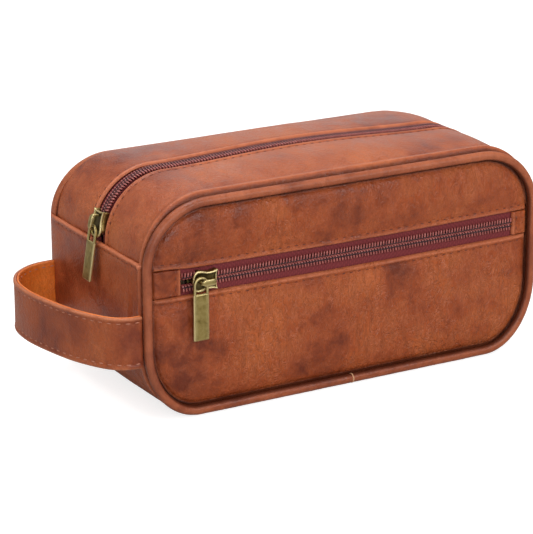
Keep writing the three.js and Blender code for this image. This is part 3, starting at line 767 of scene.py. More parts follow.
def piping(name, side, seed, node_name, flat_out=1.0, core=False):
    """A tube round the outline, 2.7 mm in radius near and 2.9 far: place + r(cos a . outward + sin a .
    across). flat_out under 1 presses its outer half in. core makes the cotton cord inside it."""
    x, z, out, at, whole = PIPING_LINE
    from_joint = np.minimum(np.abs(at - JOINT), np.abs(at - JOINT - whole))
    angle = round_turn(24)
    spread = at[:, None]
    folds = 0.055 * ripple(spread + 1.2 * np.sin(angle), 2.0 * np.cos(angle), seed, 5.5, 12)
    soft = 0.06 * ripple(spread, 6 * np.cos(angle), seed + 1, 38)
    radius = (2.72 if flat_out == 1.0 else 2.93) + folds + soft - 0.35 * bump(from_joint[:, None], 0, 0.5)
    radius = np.minimum(radius, 3.0) - 0.02
    if core:
        radius = 1.9 + 0.12 * np.cos(3 * angle + spread * 2.2)
    beyond = np.cos(angle) * radius * np.where(np.cos(angle) > 0, flat_out, 1.0)
    points = np.stack([x[:, None] + out[:, 0, None] * beyond, side * (PIPING_Y + np.sin(angle) * radius),
                       z[:, None] + out[:, 1, None] * beyond], -1)
    rub = 0.30 * np.clip(np.sin(angle + 0.5), 0, 1) ** 3 + 0.5 * bump(from_joint[:, None], 0, 0.9)
    # Painted shade on the near tube's inner and back sides, where it lies in the groove against the panel and
    # the band.
    groove_shade = np.maximum(ease((-0.55 - np.cos(angle)) / 0.3), ease((-0.62 - np.sin(angle)) / 0.25))
    groove_shade = groove_shade * (1.0 if flat_out == 1.0 else 0.0)
    rub = rub * (1 - groove_shade) - groove_shade
    tube = grid(points[:-1], wrap=True, loop=True, edge=rub[:-1])
    finish, slot = (cotton, "cotton_cord") if core else (piping_hide, "cognac_leather")
    return piece(name, [tube], finish, replaces=[node_name])


def piping_flange(name, side):
    """The flat strip the piping is sewn in by: from the tube's middle line to 6.5 mm inside it, at
    each station place - d . outward, between the depths 55.2 and 55.9."""
    x, z, out = PIPING_LINE[:3]
    within = np.array([0.6, 2.5, 4.5, 6.5, 6.5, 4.5, 2.5, 0.6])[None, :]
    depth = np.repeat([55.9, 55.2], 4)[None, :]
    if side > 0:
        within, depth = within[:, ::-1], depth[:, ::-1]
    points = np.stack([x[:, None] - out[:, 0, None] * within, side * (depth + 0 * x[:, None]),
                       z[:, None] - out[:, 1, None] * within], -1)
    # Painted shade: the whole strip is marked -1, so the finish paints it dark as the shade inside the seam.
    strip = grid(points[:-1], wrap=True, loop=True, edge=-np.ones(points[:-1].shape[:2]))
    return piece(name, [strip], piping_hide)


def piping_end(name, side):
    """The cut end where the piping meets itself under the bag: a ring round the tube, whose radius
    rises from 2.3 to 2.88 and falls again in 0.8 mm of length."""
    along = JOINT + np.array([-0.4, -0.34, 0.34, 0.4])[:, None]
    radius = np.array([2.3, 2.88, 2.88, 2.3])[:, None]
    angle = round_turn(24)
    points = np.stack([along + 0 * angle, side * (PIPING_Y + np.sin(angle) * radius),
                       PIPING_LOW - np.cos(angle) * radius], -1)
    return piece(name, [grid(points, wrap=True, loop=True)], raw_edge)


piping("piping_near", -1, 71, "front_piping_cover")
piping("piping_far", 1, 81, "back_piping_cover", 0.18)
piping_flange("piping_flange_near", -1)
piping_flange("piping_flange_far", 1)
piping_end("piping_end_near", -1)
piping("cord_near", -1, 71, "front_piping_cord", 1.0, True)
piping("cord_far", 1, 81, "back_piping_cord", 0.15, True)

# %% [markdown]
# ## The strap on the left end
# The strap is a loop of two layers, sewn into the seams behind the piping. The outer layer is folded
# over the inner one along both edges, and a row of stitches runs beside each fold. A curve through a
# few points gives its line in plan, and a closed section of each layer is carried along it.

# %% Strap
LOOP = np.array([[0, -1], [0.22, -0.985], [0.44, -0.9], [0.62, -0.73], [0.8, -0.46], [0.94, -0.08],
                 [1, 0.24], [0.95, 0.54], [0.76, 0.78], [0.5, 0.92], [0.24, 0.985], [-0.075, 1.0]])


def through(points, per_span=24):
    """A smooth curve through points: each span is the cubic that keeps the neighbours' slopes."""
    first = 2 * points[0] - points[1]
    last = 2 * points[-1] - points[-2]
    p = np.concatenate([[first], points, [last]])
    t = np.linspace(0, 1, per_span, endpoint=False)[None, :, None]
    a, b, c, d = (p[i:len(p) - 3 + i, None, :] for i in range(4))
    curve = 0.5 * (2 * b + (c - a) * t + (2 * a - 5 * b + 4 * c - d) * t ** 2 +
                   (3 * b - a - 3 * c + d) * t ** 3)
    return np.concatenate([curve.reshape(-1, points.shape[1]), points[-1:]])


def evenly(points, step):
    """The same line with stations about step apart, and the distance of each from the start."""
    length = np.concatenate([[0], np.cumsum(np.linalg.norm(np.diff(points, axis=0), axis=1))])
    at = np.linspace(0, length[-1], max(int(length[-1] / step), 2))
    return np.stack([np.interp(at, length, points[:, i]) for i in range(points.shape[1])], 1), at


STRAP_REACH = 36.2            # how far the loop stands out from the end
STRAP_LOW = 34
STRAP_HIGH = 64
strap_plan = np.stack([-131.9 - STRAP_REACH * LOOP[:, 0], PIPING_Y * LOOP[:, 1]], 1)
strap_line, strap_at = evenly(through(strap_plan), 1.5)
strap_ahead = np.gradient(strap_line, axis=0)
strap_ahead /= np.linalg.norm(strap_ahead, axis=1)[:, None]
strap_out = np.stack([-strap_ahead[:, 1], strap_ahead[:, 0]], 1)
edge_steps = np.append(FOLD_STEPS, [4.2, 5.2])
STRAP_Z = np.concatenate([STRAP_LOW + edge_steps, np.linspace(40.5, 57.5, 13),
                          STRAP_HIGH - edge_steps[::-1]])
strap_from_edge = np.minimum(STRAP_Z - STRAP_LOW, STRAP_HIGH - STRAP_Z)[None, :]


def strap_face(from_edge, along, z):
    """The outer layer's face: folded edges, a stitched valley, a little looseness."""
    loose = 0.32 * ripple(along, z, 91, 34) + 0.10 * ripple(along, 0.35 * z, 92, 9)
    return 0.30 * bump(from_edge, 1.4, 1.2) - 0.32 * bump(from_edge, 3.1, 0.7) + loose * ease(from_edge / 6)


def strap_layer(name, face, top, bottom, finish, rub, node_name):
    """A layer between depths top and bottom under the strap's line, face being its outer relief."""
    over = round_over(strap_from_edge, 0.9)
    middle = (top + bottom) / 2
    outer = -middle + (face - top + middle) * over
    inner = -middle + (middle - bottom) * over + 0 * face
    depth = np.concatenate([outer, inner[:, ::-1]], 1)
    z = np.broadcast_to(np.concatenate([STRAP_Z, STRAP_Z[::-1]])[None, :], depth.shape)
    x = strap_line[:, 0, None] + strap_out[:, 0, None] * depth
    y = strap_line[:, 1, None] + strap_out[:, 1, None] * depth
    edge = np.broadcast_to(np.concatenate([rub, rub[:, ::-1]], 1), depth.shape)
    return piece(name, [grid(np.stack([x, y, z], -1), wrap=True, edge=edge)], finish,
                 replaces=[node_name])


along = strap_at[:, None]
face = strap_face(strap_from_edge, along, STRAP_Z[None, :])
edge_wear = 0.8 * bump(strap_from_edge, 0.4, 0.9)
strap_layer("strap_outside", face, 0.0, 1.75, strap_hide, edge_wear, "handle_outer")
inside = 0.12 * ripple(along, STRAP_Z[None, :], 93, 20) * ease(strap_from_edge / 5) + 0 * face
# The inner layer uses the brightened strap leather: painted light on its inner face.
strap_layer("strap_inside", 0 * inside, 1.80, 3.0, strap_hide_painted_light, 0.6 * edge_wear, "handle_inner")

# %% [markdown]
# ## Zips
# A coil zip is two woven tapes, each with one long nylon wire wound into a flat spiral and sewn to
# its edge. The wire of one side fits between the turns of the other. So each half is a real helix:
# its middle runs along the zip, and the wire goes round it on a flattened circle. Near a slider
# the two halves move apart. The tapes are thin woven sheets under the coils.

# %% Zip helpers
PITCH = 1.9                   # length of one turn of a coil
COIL_MIDDLE = 1.72            # height of a coil's middle over the tape
COIL_REACH = 1.78             # half of a coil's width
MAIN_INSET = 4.2              # how far the main tape lies under the strips' plain level
MAIN_END = 10.6               # length of bare tape at each end of the main zip
POCKET_Y = 56.7               # depth and height of the pocket zip's line
POCKET_Z = 79.0
POCKET_ENDS = (-106.7, 113.7)
POCKET_SLIDER_X = -94.1


def coil_wire(first, last, phase, place, spread):
    """One half of a coil. With turn angle f: along = first + pitch f / 2 pi, across and height go
    round a flattened circle, and a wire of radius 0.4 follows. place turns (along, across, height)
    into points, spread(along) moves the half aside."""
    turns = (last - first) / PITCH
    angle = np.linspace(0, 2 * math.pi * turns, int(turns * 12) + 1) + phase
    along = first + PITCH * (angle - phase) / (2 * math.pi)
    c, s = np.cos(angle), -np.sin(angle)
    flat_c, flat_s = soft_box(-angle, 0.7)
    across = COIL_REACH * (1 + flat_c) - 0.05 + spread(along)
    height = COIL_MIDDLE + 0.70 * flat_s - 0.35 * bump(across - spread(along), 0.2, 0.7)
    ring = round_turn(6)
    wire_a = along[:, None] + 0.56 * np.sin(ring) + 0 * angle[:, None]
    wire_b = across[:, None] + 0.38 * np.cos(ring) * c[:, None]
    wire_h = height[:, None] + 0.38 * np.cos(ring) * s[:, None]
    return grid(place(wire_a, wire_b, wire_h), wrap=True)


def on_arch(side):
    """Places (along, across, height) on the main zip: along the arch, side by side, over the tape."""
    def place(along, across, height):
        x0 = np.interp(along, arch_at, arch[:, 0])
        z0 = np.interp(along, arch_at, arch[:, 1])
        nx = np.interp(along, arch_at, arch_out[:, 0])
        nz = np.interp(along, arch_at, arch_out[:, 1])
        size = np.hypot(nx, nz)
        x = x0 + nx / size * (height - MAIN_INSET)
        y = side * across
        return np.stack([x, y, z0 + nz / size * (height - MAIN_INSET) + crown(x, y)], -1)
    return place


def on_front(side):
    """Places (along, across, height) on the pocket zip: x, z from its line, y outwards."""
    def place(along, across, height):
        return np.stack([along, -POCKET_Y - height, POCKET_Z + side * across], -1)
    return place


def main_parting(along):
    """1.6 mm apart behind the main slider, together in front of it."""
    past = (along - 16.47) * 0.951 + 2.28
    return 1.6 * ease(0.5 - past / 4.56)


def front_parting(along):
    """1.7 mm apart left of the pocket slider, together right of it."""
    return 1.7 * ease((POCKET_SLIDER_X - along) / 4.56 + 0.35)


def sewn_rope(first, last, place, spread):
    """The thread that sews a coil down: a flat rope along its inner third, waved by the turns."""
    along = np.linspace(first, last, int((last - first) / 0.95))[:, None]
    ring = round_turn(8)
    wave = 0.06 * np.cos(2 * math.pi * along / PITCH)
    across = 1.22 + 0.52 * np.cos(ring) + spread(along)
    height = 2.42 + wave + 0.30 * np.sin(ring)
    return grid(place(along + 0 * ring, across, height), wrap=True)


TAPE_ACROSS = np.concatenate([1.5 + np.array([0, 0.1, 0.3, 0.7, 1.1]), np.linspace(3.2, 15, 10),
                              [15.7, 15.9, 16]])


def tape(name, along, place, node_name):
    """A flat woven sheet, 0.8 mm thick, with a rounded edge: a closed section of two faces."""
    across = TAPE_ACROSS
    wide = np.concatenate([across, across[::-1]])[None, :] + 0 * along[:, None]
    half = 0.4 * round_over(np.minimum(across - across[0], across[-1] - across), 0.4)
    cord = 0.22 * bump(across, across[0] + 0.5, 0.5)
    high = np.concatenate([half + cord, -half[::-1]])[None, :] + 0 * along[:, None]
    points = place(along[:, None] + 0 * wide, wide, high)
    return piece(name, [grid(points, wrap=True)], tape_cloth, replaces=[node_name])


def zip_half(label, node_label, word, start, along, ends, place, parting):
    """Half a zip: its tape, its coil, wound from the angle start, and the thread that sews it."""
    tape(f"{label}_zip_tape_{word}", along, place, f"{node_label}_tape_{word}")
    wire = coil_wire(*ends, start, place, parting)
    piece(f"{label}_zip_teeth_{word}", [wire], teeth_nylon,
          replaces=[f"{node_label}_coil_{word}"])
    piece(f"{label}_zip_thread_{word}", [sewn_rope(*ends, place, parting)], zip_thread)


# %% Both zips
main_along = np.linspace(0, arch_long, 230)
main_ends = (MAIN_END, arch_long - MAIN_END)
zip_half("main", "main", "front", 0.0, main_along, main_ends, on_arch(-1), main_parting)
zip_half("main", "main", "back", math.pi, main_along, main_ends, on_arch(1), main_parting)
pocket_along = np.linspace(-118, 118, 120)
zip_half("pocket", "front", "upper", 0.0, pocket_along, POCKET_ENDS, on_front(1), front_parting)
zip_half("pocket", "front", "lower", math.pi, pocket_along, POCKET_ENDS, on_front(-1), front_parting)

# %% [markdown]
# ## Sliders
# A slider is cast in brass: two plates with the same wavy outline, joined by a wedge at the wide end
# and by turned-in flanges along the sides, and a bridge on top for the pull. The upper plate has a
# bright raised rim round a dark recess. A plate is its outline drawn in towards a spine in steps, at
# heights that make the rim; the flanges and the bridge are sections carried along short paths.

# %% Slider helpers
def bezier(points, count=14):
    """A quadratic or cubic through control points, without its last point."""
    p = np.array(points, float)
    t = np.linspace(0, 1, count, endpoint=False)[:, None]
    if len(p) == 3:
        return (1 - t) ** 2 * p[0] + 2 * t * (1 - t) * p[1] + t ** 2 * p[2]
    return ((1 - t) ** 3 * p[0] + 3 * t * (1 - t) ** 2 * p[1] + 3 * t ** 2 * (1 - t) * p[2] + t ** 3 * p[3])


def slider_outline():
    """Rounded nose, broad shoulders, narrow waist, flared tail; u along the zip, w across it."""
    low = np.concatenate([bezier([(-7.6, 0), (-7.6, -6.2), (-3.8, -6.2)]),
                          bezier([(-3.8, -6.2), (-1, -6.2), (0, -4.9), (2.53, -4.9)]),
                          bezier([(2.53, -4.9), (5.7, -4.9), (8.0, -5.8)]),
                          np.stack([np.linspace(8.0, 7.2, 5)[:-1], np.linspace(-5.8, -3.4, 5)[:-1]], 1),
                          np.stack([np.full(5, 7.2), np.linspace(-3.4, 0, 5)], 1)])
    return np.concatenate([low, low[::-1][1:-1] * [1, -1]])


def drawn_in(outline, profile):
    """A closed solid: rows (inset share, height); share 1 is the outline, 0 its spine."""
    spine = np.stack([np.clip(outline[:, 0], -3.2, 3.4), 0 * outline[:, 1]], 1)
    share = np.array([p[0] for p in profile])[:, None, None]
    flat = spine[None] + (outline - spine)[None] * share
    high = np.broadcast_to(np.array([p[1] for p in profile])[:, None, None], flat.shape[:2] + (1,))
    rub = np.array([p[2] if len(p) > 2 else 0.0 for p in profile])[:, None]
    return grid(np.concatenate([flat, high], -1), wrap=True, edge=rub * np.ones((1, len(outline))))


def swept(path, half_wide, half_thick, sides, rub):
    """A rounded bar along a path of (u, h): its section is a softened box, half_wide across w."""
    ahead = np.gradient(path, axis=0)
    ahead /= np.linalg.norm(ahead, axis=1)[:, None]
    normal = np.stack([-ahead[:, 1], ahead[:, 0]], 1)
    c, s = soft_box(round_turn(sides), 0.55)
    wide = np.broadcast_to(half_wide, len(path))[:, None] * c
    thick = half_thick * s
    u = path[:, 0, None] + normal[:, 0, None] * thick
    h = path[:, 1, None] + normal[:, 1, None] * thick
    worn = rub * np.clip(np.abs(c) ** 3 * np.abs(s) ** 2 * 2.5, 0, 1) + 0 * u
    return grid(np.stack([u, wide + 0 * u, h], -1), wrap=True, edge=worn)


def moved(part, origin, u, w, h):
    """A part from its own (u, w, h) to the bag's frame."""
    at = part["at"]
    placed = np.array(origin) + at @ np.array([u, w, h])
    turned = np.dot(np.cross(u, w), h)
    faces = part["faces"] if turned > 0 else [face[::-1] for face in part["faces"]]
    return {**part, "at": placed, "faces": faces}


RIM = [(0.03, 4.35, -0.7), (0.35, 4.35, -0.7), (0.60, 4.33, -0.8), (0.70, 4.40, -0.9), (0.75, 4.75, -0.2),
       (0.80, 5.22, 0.8), (0.87, 5.36, 1),
       (0.94, 5.30, 1), (0.985, 5.10, 1), (1.0, 4.80, 0.7), (1.0, 4.30, 0.2), (0.97, 3.98), (0.88, 3.90),
       (0.5, 3.90), (0.03, 3.90)]
FLOOR = [(0.03, -2.90), (0.6, -2.90), (0.9, -2.85), (0.98, -2.60), (1.0, -2.30), (0.99, -1.95), (0.94, -1.70),
         (0.5, -1.70), (0.03, -1.70)]


def slider_parts():
    """Upper plate, floor plate, four flange bars and the wedge, in the slider's own frame."""
    outline = slider_outline()
    parts = [drawn_in(outline, RIM), drawn_in(outline, FLOOR)]
    run = np.array([[-3.8, 5.75], [-2.2, 5.6], [-0.6, 5.05], [1.0, 4.6], [2.6, 4.45], [4.2, 4.5],
                    [5.7, 4.7], [6.9, 5.0], [7.7, 5.3]])
    c, s = soft_box(round_turn(12), 0.6)
    for side in (-1, 1):
        for low, high in ((0.75, 4.1), (-1.9, -0.75)):
            w = side * (run[:, 1, None] + 0.42 * c)
            h = (low + high) / 2 + (high - low) / 2 * s + 0 * w
            u = run[:, 0, None] + 0 * w
            parts.append(grid(np.stack([u, w, h], -1), wrap=True))
    turn = round_turn(16)[0]
    post = np.stack([-5.6 + 1.7 * np.cos(turn), 0.95 * np.sin(turn)], 1)
    levels = np.linspace(-2.0, 4.1, 4)
    wedge = np.concatenate([np.broadcast_to(post[None], (4, 16, 2)),
                            np.broadcast_to(levels[:, None, None], (4, 16, 1))], -1)
    parts.append(grid(wedge, wrap=True))
    return parts


def bridge_parts():
    """The bridge that holds the pull: up a post, along a tongue that is widest in the middle, down."""
    corner = np.array([[-3.6, 4.75], [-3.6, 6.2], [-3.6, 7.6], [-3.35, 8.45], [-2.6, 8.9], [-1.2, 8.98],
                       [0.6, 9.0], [2.4, 8.96], [3.8, 8.75], [4.6, 8.2], [4.8, 7.4], [4.8, 6.2],
                       [4.8, 4.75]])
    line, at = evenly(through(corner, 10), 0.45)
    share = at / at[-1]
    wide = 1.05 + 0.85 * ease((share - 0.24) / 0.12) * ease((0.80 - share) / 0.14)
    return [swept(line, wide, 0.66, 16, 0.8)]


FRONT_FRAME = ((POCKET_SLIDER_X, -POCKET_Y, POCKET_Z), (1, 0, 0), (0, 0, 1), (0, -1, 0))
MAIN_FRAME = ((-124.399, 0.0, 99.994), (0.23345, 0, 0.97237), (0, 1, 0), (-0.97237, 0, 0.23345))
for word, label, where in (("front", "pocket", FRONT_FRAME), ("main", "main", MAIN_FRAME)):
    body = f"{word}_slider"
    piece(f"{label}_slider_plates", [moved(part, *where) for part in slider_parts()], old_brass,
          body, [f"{word}_slider_body"])
    piece(f"{label}_slider_bridge", [moved(part, *where) for part in bridge_parts()], old_brass,
          body, [f"{word}_slider_crown"])

# %% [markdown]
# ## Pulls
# Each pull is a long flat tab with bevelled edges under an arched eye of round wire. The eye is a
# circle carried up one leg, round the arch and down the other; the tab is a bevelled section that
# shrinks at both ends.

# %% Pulls
def pull_parts(tab_long):
    """The eye and the tab, hanging along -z from the middle of the eye's rim; width along x."""
    arch_z, tab_top = -3.9, -9.1
    turn = np.linspace(0, math.pi, 21)
    legs = np.linspace(tab_top - 0.7, arch_z, 7)[:-1]
    x = np.concatenate([np.full(6, 3.9), 3.9 * np.cos(turn), np.full(6, -3.9)])
    z = np.concatenate([legs, arch_z + 3.9 * np.sin(turn), legs[::-1]])
    line = np.stack([x, z], 1)
    ahead = np.gradient(line, axis=0)
    ahead /= np.linalg.norm(ahead, axis=1)[:, None]
    a = round_turn(12)
    ex = x[:, None] - ahead[:, 1, None] * 0.88 * np.cos(a)
    ez = z[:, None] + ahead[:, 0, None] * 0.88 * np.cos(a)
    ey = 0.86 * np.sin(a) + 0 * ex
    eye = grid(np.stack([ex, ey, ez], -1), wrap=True, edge=0.55 * np.abs(np.sin(a)) ** 2 + 0 * ex)
    corner = np.array([[4.8, 0], [4.8, 0.34], [4.78, 0.42], [4.30, 0.80], [4.18, 0.84], [2.2, 0.86], [0, 0.87],
                       [-2.2, 0.86], [-4.18, 0.84], [-4.30, 0.80], [-4.78, 0.42], [-4.8, 0.34], [-4.8, 0]])
    ring = np.concatenate([corner, corner[::-1][1:-1] * [1, -1]])
    bevel = [0.8, 1, 1, 0.25, 0, 0, 0, 0.25, 1, 1, 0.8]
    rub = np.array([0.5] + bevel + [0.5] + bevel)
    ends = np.array([0, 0.06, 0.25, 0.55, 0.8])
    at = np.concatenate([ends, np.linspace(1.4, tab_long - 1.4, 12), tab_long - ends[::-1]])
    to_end = np.minimum(at, tab_long - at)
    thin = 0.42 + 0.58 * np.clip(to_end / 0.55, 0, 1)
    narrow = 1 - 0.35 / 4.8 * (1 - np.clip(to_end / 0.25, 0, 1))
    sx = ring[None, :, 0] * narrow[:, None]
    sy = ring[None, :, 1] * thin[:, None]
    sz = tab_top - at[:, None] + 0 * sx
    worn = np.maximum(rub[None, :], 0.9 * (1 - np.clip(to_end / 0.7, 0, 1))[:, None])
    return [eye, grid(np.stack([sx, sy, sz], -1), wrap=True, edge=worn)]


lean = math.radians(9)
FRONT_PULL = ((-97.7, -63.4, 81.6), (1, 0, 0), (0, 1, 0), (0, 0, 1))
MAIN_PULL = ((-131.217, 0.0, 100.294), (0, -1, 0), (math.cos(lean), 0, -math.sin(lean)),
             (math.sin(lean), 0, math.cos(lean)))
piece("pocket_pull", [moved(part, *FRONT_PULL) for part in pull_parts(27.0)], old_brass,
      "front_pull", ["front_pull"])
piece("main_pull_tab", [moved(part, *MAIN_PULL) for part in pull_parts(22.5)], old_brass,
      "main_pull", ["main_pull"])

# %% [markdown]
# ## Stitches
# The thread shows as short ropes, each sunk at both ends and a little proud in the middle. One such
# rope is a thin capsule of a few dozen faces. A row of them is laid along a line on the leather,
# at even steps, from the line's own direction and the leather's outward direction.

# %% Stitch rows
STITCH = 5.2                  # from one stitch to the next
FROM_EDGE = 3.4               # from a folded edge to its row of stitches


def stitch_row(line, out, long=2.6, radius=0.33):
    """Capsules along a line (stations, 3) with outward directions: with s from -1 to 1 along a
    stitch, its radius is r(1 - s^6) and its middle stands 0.12 - 0.42 s^2 over the leather."""
    length = np.concatenate([[0], np.cumsum(np.linalg.norm(np.diff(line, axis=0), axis=1))])
    count = int(length[-1] / STITCH)
    at = (np.arange(count) + 0.5) * length[-1] / count
    take = lambda values, where: np.stack([np.interp(where, length, values[:, i]) for i in range(3)], 1)
    middle = take(line, at)
    ahead = take(line, at + 0.8) - take(line, at - 0.8)
    ahead /= np.linalg.norm(ahead, axis=1)[:, None]
    up = take(out, at)
    up -= (up * ahead).sum(1)[:, None] * ahead
    up /= np.linalg.norm(up, axis=1)[:, None]
    side = np.cross(ahead, up)
    s = np.array([-1, -0.86, -0.5, 0, 0.5, 0.86, 1])[:, None]
    a = round_turn(6)
    thick = radius * (1 - 0.85 * s ** 6)
    high = 0.12 - 0.42 * s ** 2 + thick * np.sin(a)
    wide = thick * np.cos(a)
    fore = long / 2 * s + 0 * a
    place = lambda d, v: d[None, :, :, None] * v[:, None, None, :]
    points = middle[:, None, None, :] + place(fore, ahead) + place(high, up) + place(wide, side)
    one = grid(points[0], wrap=True)
    step = points.shape[1] * points.shape[2]
    faces = [[i + k * step for i in face] for k in range(count) for face in one["faces"]]
    return {"at": points.reshape(-1, 3), "faces": faces, "edge": np.zeros(count * step),
            "uv": np.tile(one["uv"], (count, 1))}


def on_panel(xs, zs, height):
    """A line on the front face, at x and z, at the panel's own height."""
    x, z = np.broadcast_arrays(np.asarray(xs, float), np.asarray(zs, float))
    y = -(PANEL_Y + height(x[None, :], z[None, :])[0])
    return np.stack([x, y, z], 1), np.tile([0.0, -1.0, 0.0], (len(x), 1))


wide_x = np.linspace(-121.5, 121.5, 160)
tab_z = np.linspace(72.6, 85.4, 20)
rows_done = [stitch_row(*on_panel(wide_x, 89.75 + sag(wide_x, 1), upper_height)),
             stitch_row(*on_panel(117.9, tab_z, tab_right_height)),
             stitch_row(*on_panel(-110.9, tab_z, tab_left_height))]
piece("stitches_pocket_upper", rows_done, thread)
rows_done = [stitch_row(*on_panel(wide_x, LOWER_LINE - FROM_EDGE + sag(wide_x, -1), lower_height))]
piece("stitches_pocket_lower", rows_done, thread)

rows_done = []
for side, seed in ((-1, 21), (1, 31)):
    y = WINDOW + FROM_EDGE
    proud = strip_face(np.full((1, 1), y), arch_at[:, None], seed, 0.0)[:, 0] - STRIP_IN
    line = carried(arch, arch_out, np.full((1, 1), side * y), proud[:, None])[:, 0]
    facing = np.stack([arch_out[:, 0], 0 * arch_at, arch_out[:, 1]], 1)
    rows_done.append(stitch_row(line[6:-6], facing[6:-6]))
piece("stitches_beside_zip", rows_done, thread)

rows_done = []
ys = np.linspace(-51.5, 51.5, 60)
for side, at in ((-1, 3.5), (1, cup_long - 3.5)):
    k = int(np.argmin(np.abs(cup_at - at)))
    proud = np.interp(ys, columns, BAND_FACE[k])
    line = np.stack([side * (HALF + proud), ys, np.full(60, SEAM - FROM_EDGE)], 1)
    rows_done.append(stitch_row(line, np.tile([side, 0.0, 0.0], (60, 1)), 2.4, 0.28))
piece("stitches_end_seams", rows_done, thread)

rows_done = []
facing = np.concatenate([strap_out, 0 * along], 1)
for z in (STRAP_LOW + 3.1, STRAP_HIGH - 3.1):
    proud = strap_face(np.full((1, 1), 3.1), along, np.full((1, 1), z))
    line = np.concatenate([strap_line, z + 0 * along], 1)
    rows_done.append(stitch_row(line + facing * proud, facing, 3.0))
    rows_done.append(stitch_row(line - facing * 3.0, -facing, 3.0))
piece("stitches_strap", rows_done, pale_thread)

# %% [markdown]
# ## What is inside
# The lining, the two foam pads, the pocket's own wall and the bottom board are hidden while the bag
# is closed, but they are part of it. The cloth and the pads are drawn with the same grids as the
# leather. The board and the lining body keep their imported shapes and get finishes.

# %% Inside pieces
def depths(node_name):
    """The two depths of a CAD node in millimetres, the smaller first, and the side it lies on."""
    lo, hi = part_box(node_name)
    ends = sorted([abs(lo.y) / MM, abs(hi.y) / MM])
    return ends[0], ends[1], (-1 if lo.y + hi.y < 0 else 1)


def inner_panel(name, finish, node_name, crowned=0.0):
    """A sheet or pad between the depths of its CAD node, inside the panel outline, drawn in to it."""
    lo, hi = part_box(node_name)
    low_y, high_y, side = depths(node_name)
    half = hi.x / MM
    xs = np.concatenate([-half + ROUND[ROUND < half], np.linspace(-half + 32, half - 32, 30),
                         (half - ROUND[ROUND < half])[::-1]])
    base, ceiling = lo.z / MM, hi.z / MM
    share = half / PANEL["half"]
    under = lambda x: base + (panel_limits(x / share)[0] - PANEL["low"])
    over = lambda x: np.maximum(ceiling + (panel_limits(x / share)[1] - PANEL["high"]), under(x) + 2.0)
    steps = rows(base, ceiling, 3)
    x = xs[:, None] + 0 * steps[None, :]
    low, high = under(xs)[:, None], over(xs)[:, None]
    z = low + (high - low) * steps[None, :]
    to_edge = np.minimum(np.minimum(half - np.abs(x), high - z), z - low)
    middle, thick = (low_y + high_y) / 2, (high_y - low_y) / 2
    depth = thick * (0.25 + 0.75 * round_over(to_edge, max(2 * thick, 1.0))) + crowned * ease(to_edge / 30)
    near = np.stack([x, side * (middle + depth), z], -1)
    back = np.stack([x, side * (middle - depth), z], -1)[:, ::-1]
    return piece(name, [grid(np.concatenate([near, back], 1), wrap=True)], finish, replaces=[node_name])


for word in ("front", "back"):
    pad = inner_panel(f"foam_pad_{word}", foam, f"padding_{word}", -0.15)
    inner_panel(f"cloth_lining_{word}", lining_cloth, f"lining_{word}")
    side = depths(f"lining_{word}")[2]
    ys = np.linspace(*depths(f"lining_top_{word}")[:2], 20)
    tucked = round_over(np.minimum(ys - ys[0], ys[-1] - ys), 0.5)
    wide = np.concatenate([ys, ys[::-1]])[None, :]
    high = np.concatenate([0.38 * tucked, -0.38 * tucked[::-1]])[None, :] - 5.4
    points = carried(arch, arch_out, side * wide, high + 0 * arch_at[:, None])
    piece(f"cloth_lining_top_{word}", [grid(points[4:-4], wrap=True)], lining_cloth,
          replaces=[f"lining_top_{word}"])
inner_panel("cloth_pocket_wall", lining_cloth, "pocket_wall")
for name, finish in (("lining_body", sleeve_cloth), ("bottom_board", board)):
    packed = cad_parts[name]
    packed.data.materials.clear()
    packed.data.materials.append(finish)

# %% [markdown]
# ## Floor, light and camera
# A pale floor and a bright even sky make soft, almost shadowless light. One large panel overhead
# gives the leather its broad sheen along the top, two smaller ones in front open up the face, weak
# ones behind draw the far edge, and the camera looks from the front left, from a little above.

# %% Floor and light
def floor_points():
    """A wide sheet at z = 0 that turns up by half a metre, smoothly, a long way out on every side."""
    across = np.linspace(-4000, 4000, 61)
    y, x = np.meshgrid(across, across, indexing="ij")
    z = 500 * ease((np.hypot(x, y) - 1800) / 2200) ** 1.5
    return np.stack([x, y, z - 0.05], -1)


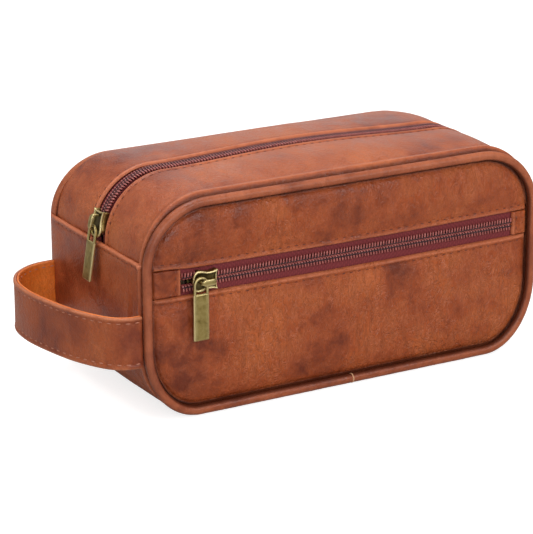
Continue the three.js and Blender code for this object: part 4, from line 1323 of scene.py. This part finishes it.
def pale_floor():
    """A matt, almost white finish with a trace of unevenness."""
    finish, shader = new_finish("pale_floor")
    where = object_place(finish)
    tone = noise(finish, where, 3, 2.0)
    shade = ramp(finish, tone, [(0.3, (0.46, 0.45, 0.44)), (0.7, (0.50, 0.49, 0.48))])
    link(finish, shade, shader.inputs["Base Color"])
    shader.inputs["Roughness"].default_value = 0.9
    direct = node(finish, "ShaderNodeLightPath").outputs["Is Camera Ray"]
    shader.inputs["Emission Color"].default_value = (1, 1, 1, 1)
    link(finish, sums(finish, direct, 0.78, "MULTIPLY"), shader.inputs["Emission Strength"])
    return finish


floor = grid(floor_points())
floor_mesh = bpy.data.meshes.new("floor")
floor_mesh.from_pydata((floor["at"] * MM).tolist(), [], floor["faces"])
floor_mesh.polygons.foreach_set("use_smooth", [True] * len(floor_mesh.polygons))
floor_mesh.materials.append(pale_floor())
floor_thing = bpy.data.objects.new("floor", floor_mesh)
bpy.context.scene.collection.objects.link(floor_thing)

world = bpy.data.worlds.new("soft_sky")
bpy.context.scene.world = world
world.use_nodes = True
world.node_tree.nodes["Background"].inputs["Color"].default_value = (1.0, 0.995, 0.985, 1)
world.node_tree.nodes["Background"].inputs["Strength"].default_value = 0.36


def soft_light(name, place, target, size, power):
    """A square area light looking at a point."""
    lamp = bpy.data.lights.new(name, "AREA")
    lamp.energy = power
    lamp.size = size
    thing = bpy.data.objects.new(name, lamp)
    thing.location = place
    thing.rotation_euler = (Vector(target) - Vector(place)).to_track_quat("-Z", "Y").to_euler()
    bpy.context.scene.collection.objects.link(thing)


soft_light("overhead", (-0.05, 0.20, 1.25), (0, 0, 0.08), 0.8, 10.2)
soft_light("behind_right", (0.75, 1.30, 0.52), (0, 0, 0.10), 0.9, 1.7)
soft_light("front_left", (-0.45, -1.35, 0.62), (-0.05, 0, 0.06), 0.7, 7.8)
soft_light("front_right", (0.55, -1.25, 0.80), (0, 0, 0.06), 0.7, 7.6)
soft_light("left_back", (-1.20, 0.35, 0.75), (-0.1, 0, 0.08), 0.6, 3.6)
bpy.context.scene.view_settings.view_transform = "Standard"

# %% Camera
lens = bpy.data.cameras.new("camera")
lens.lens = 161.9
lens.sensor_width = 36
lens.clip_end = 50
camera = bpy.data.objects.new("camera", lens)
camera.location = (-0.6956, -1.1585, 0.4930)
look = Vector((-0.01998, -0.00149, 0.05804)) - camera.location
camera.rotation_euler = look.to_track_quat("-Z", "Y").to_euler()
bpy.context.scene.collection.objects.link(camera)
bpy.context.scene.camera = camera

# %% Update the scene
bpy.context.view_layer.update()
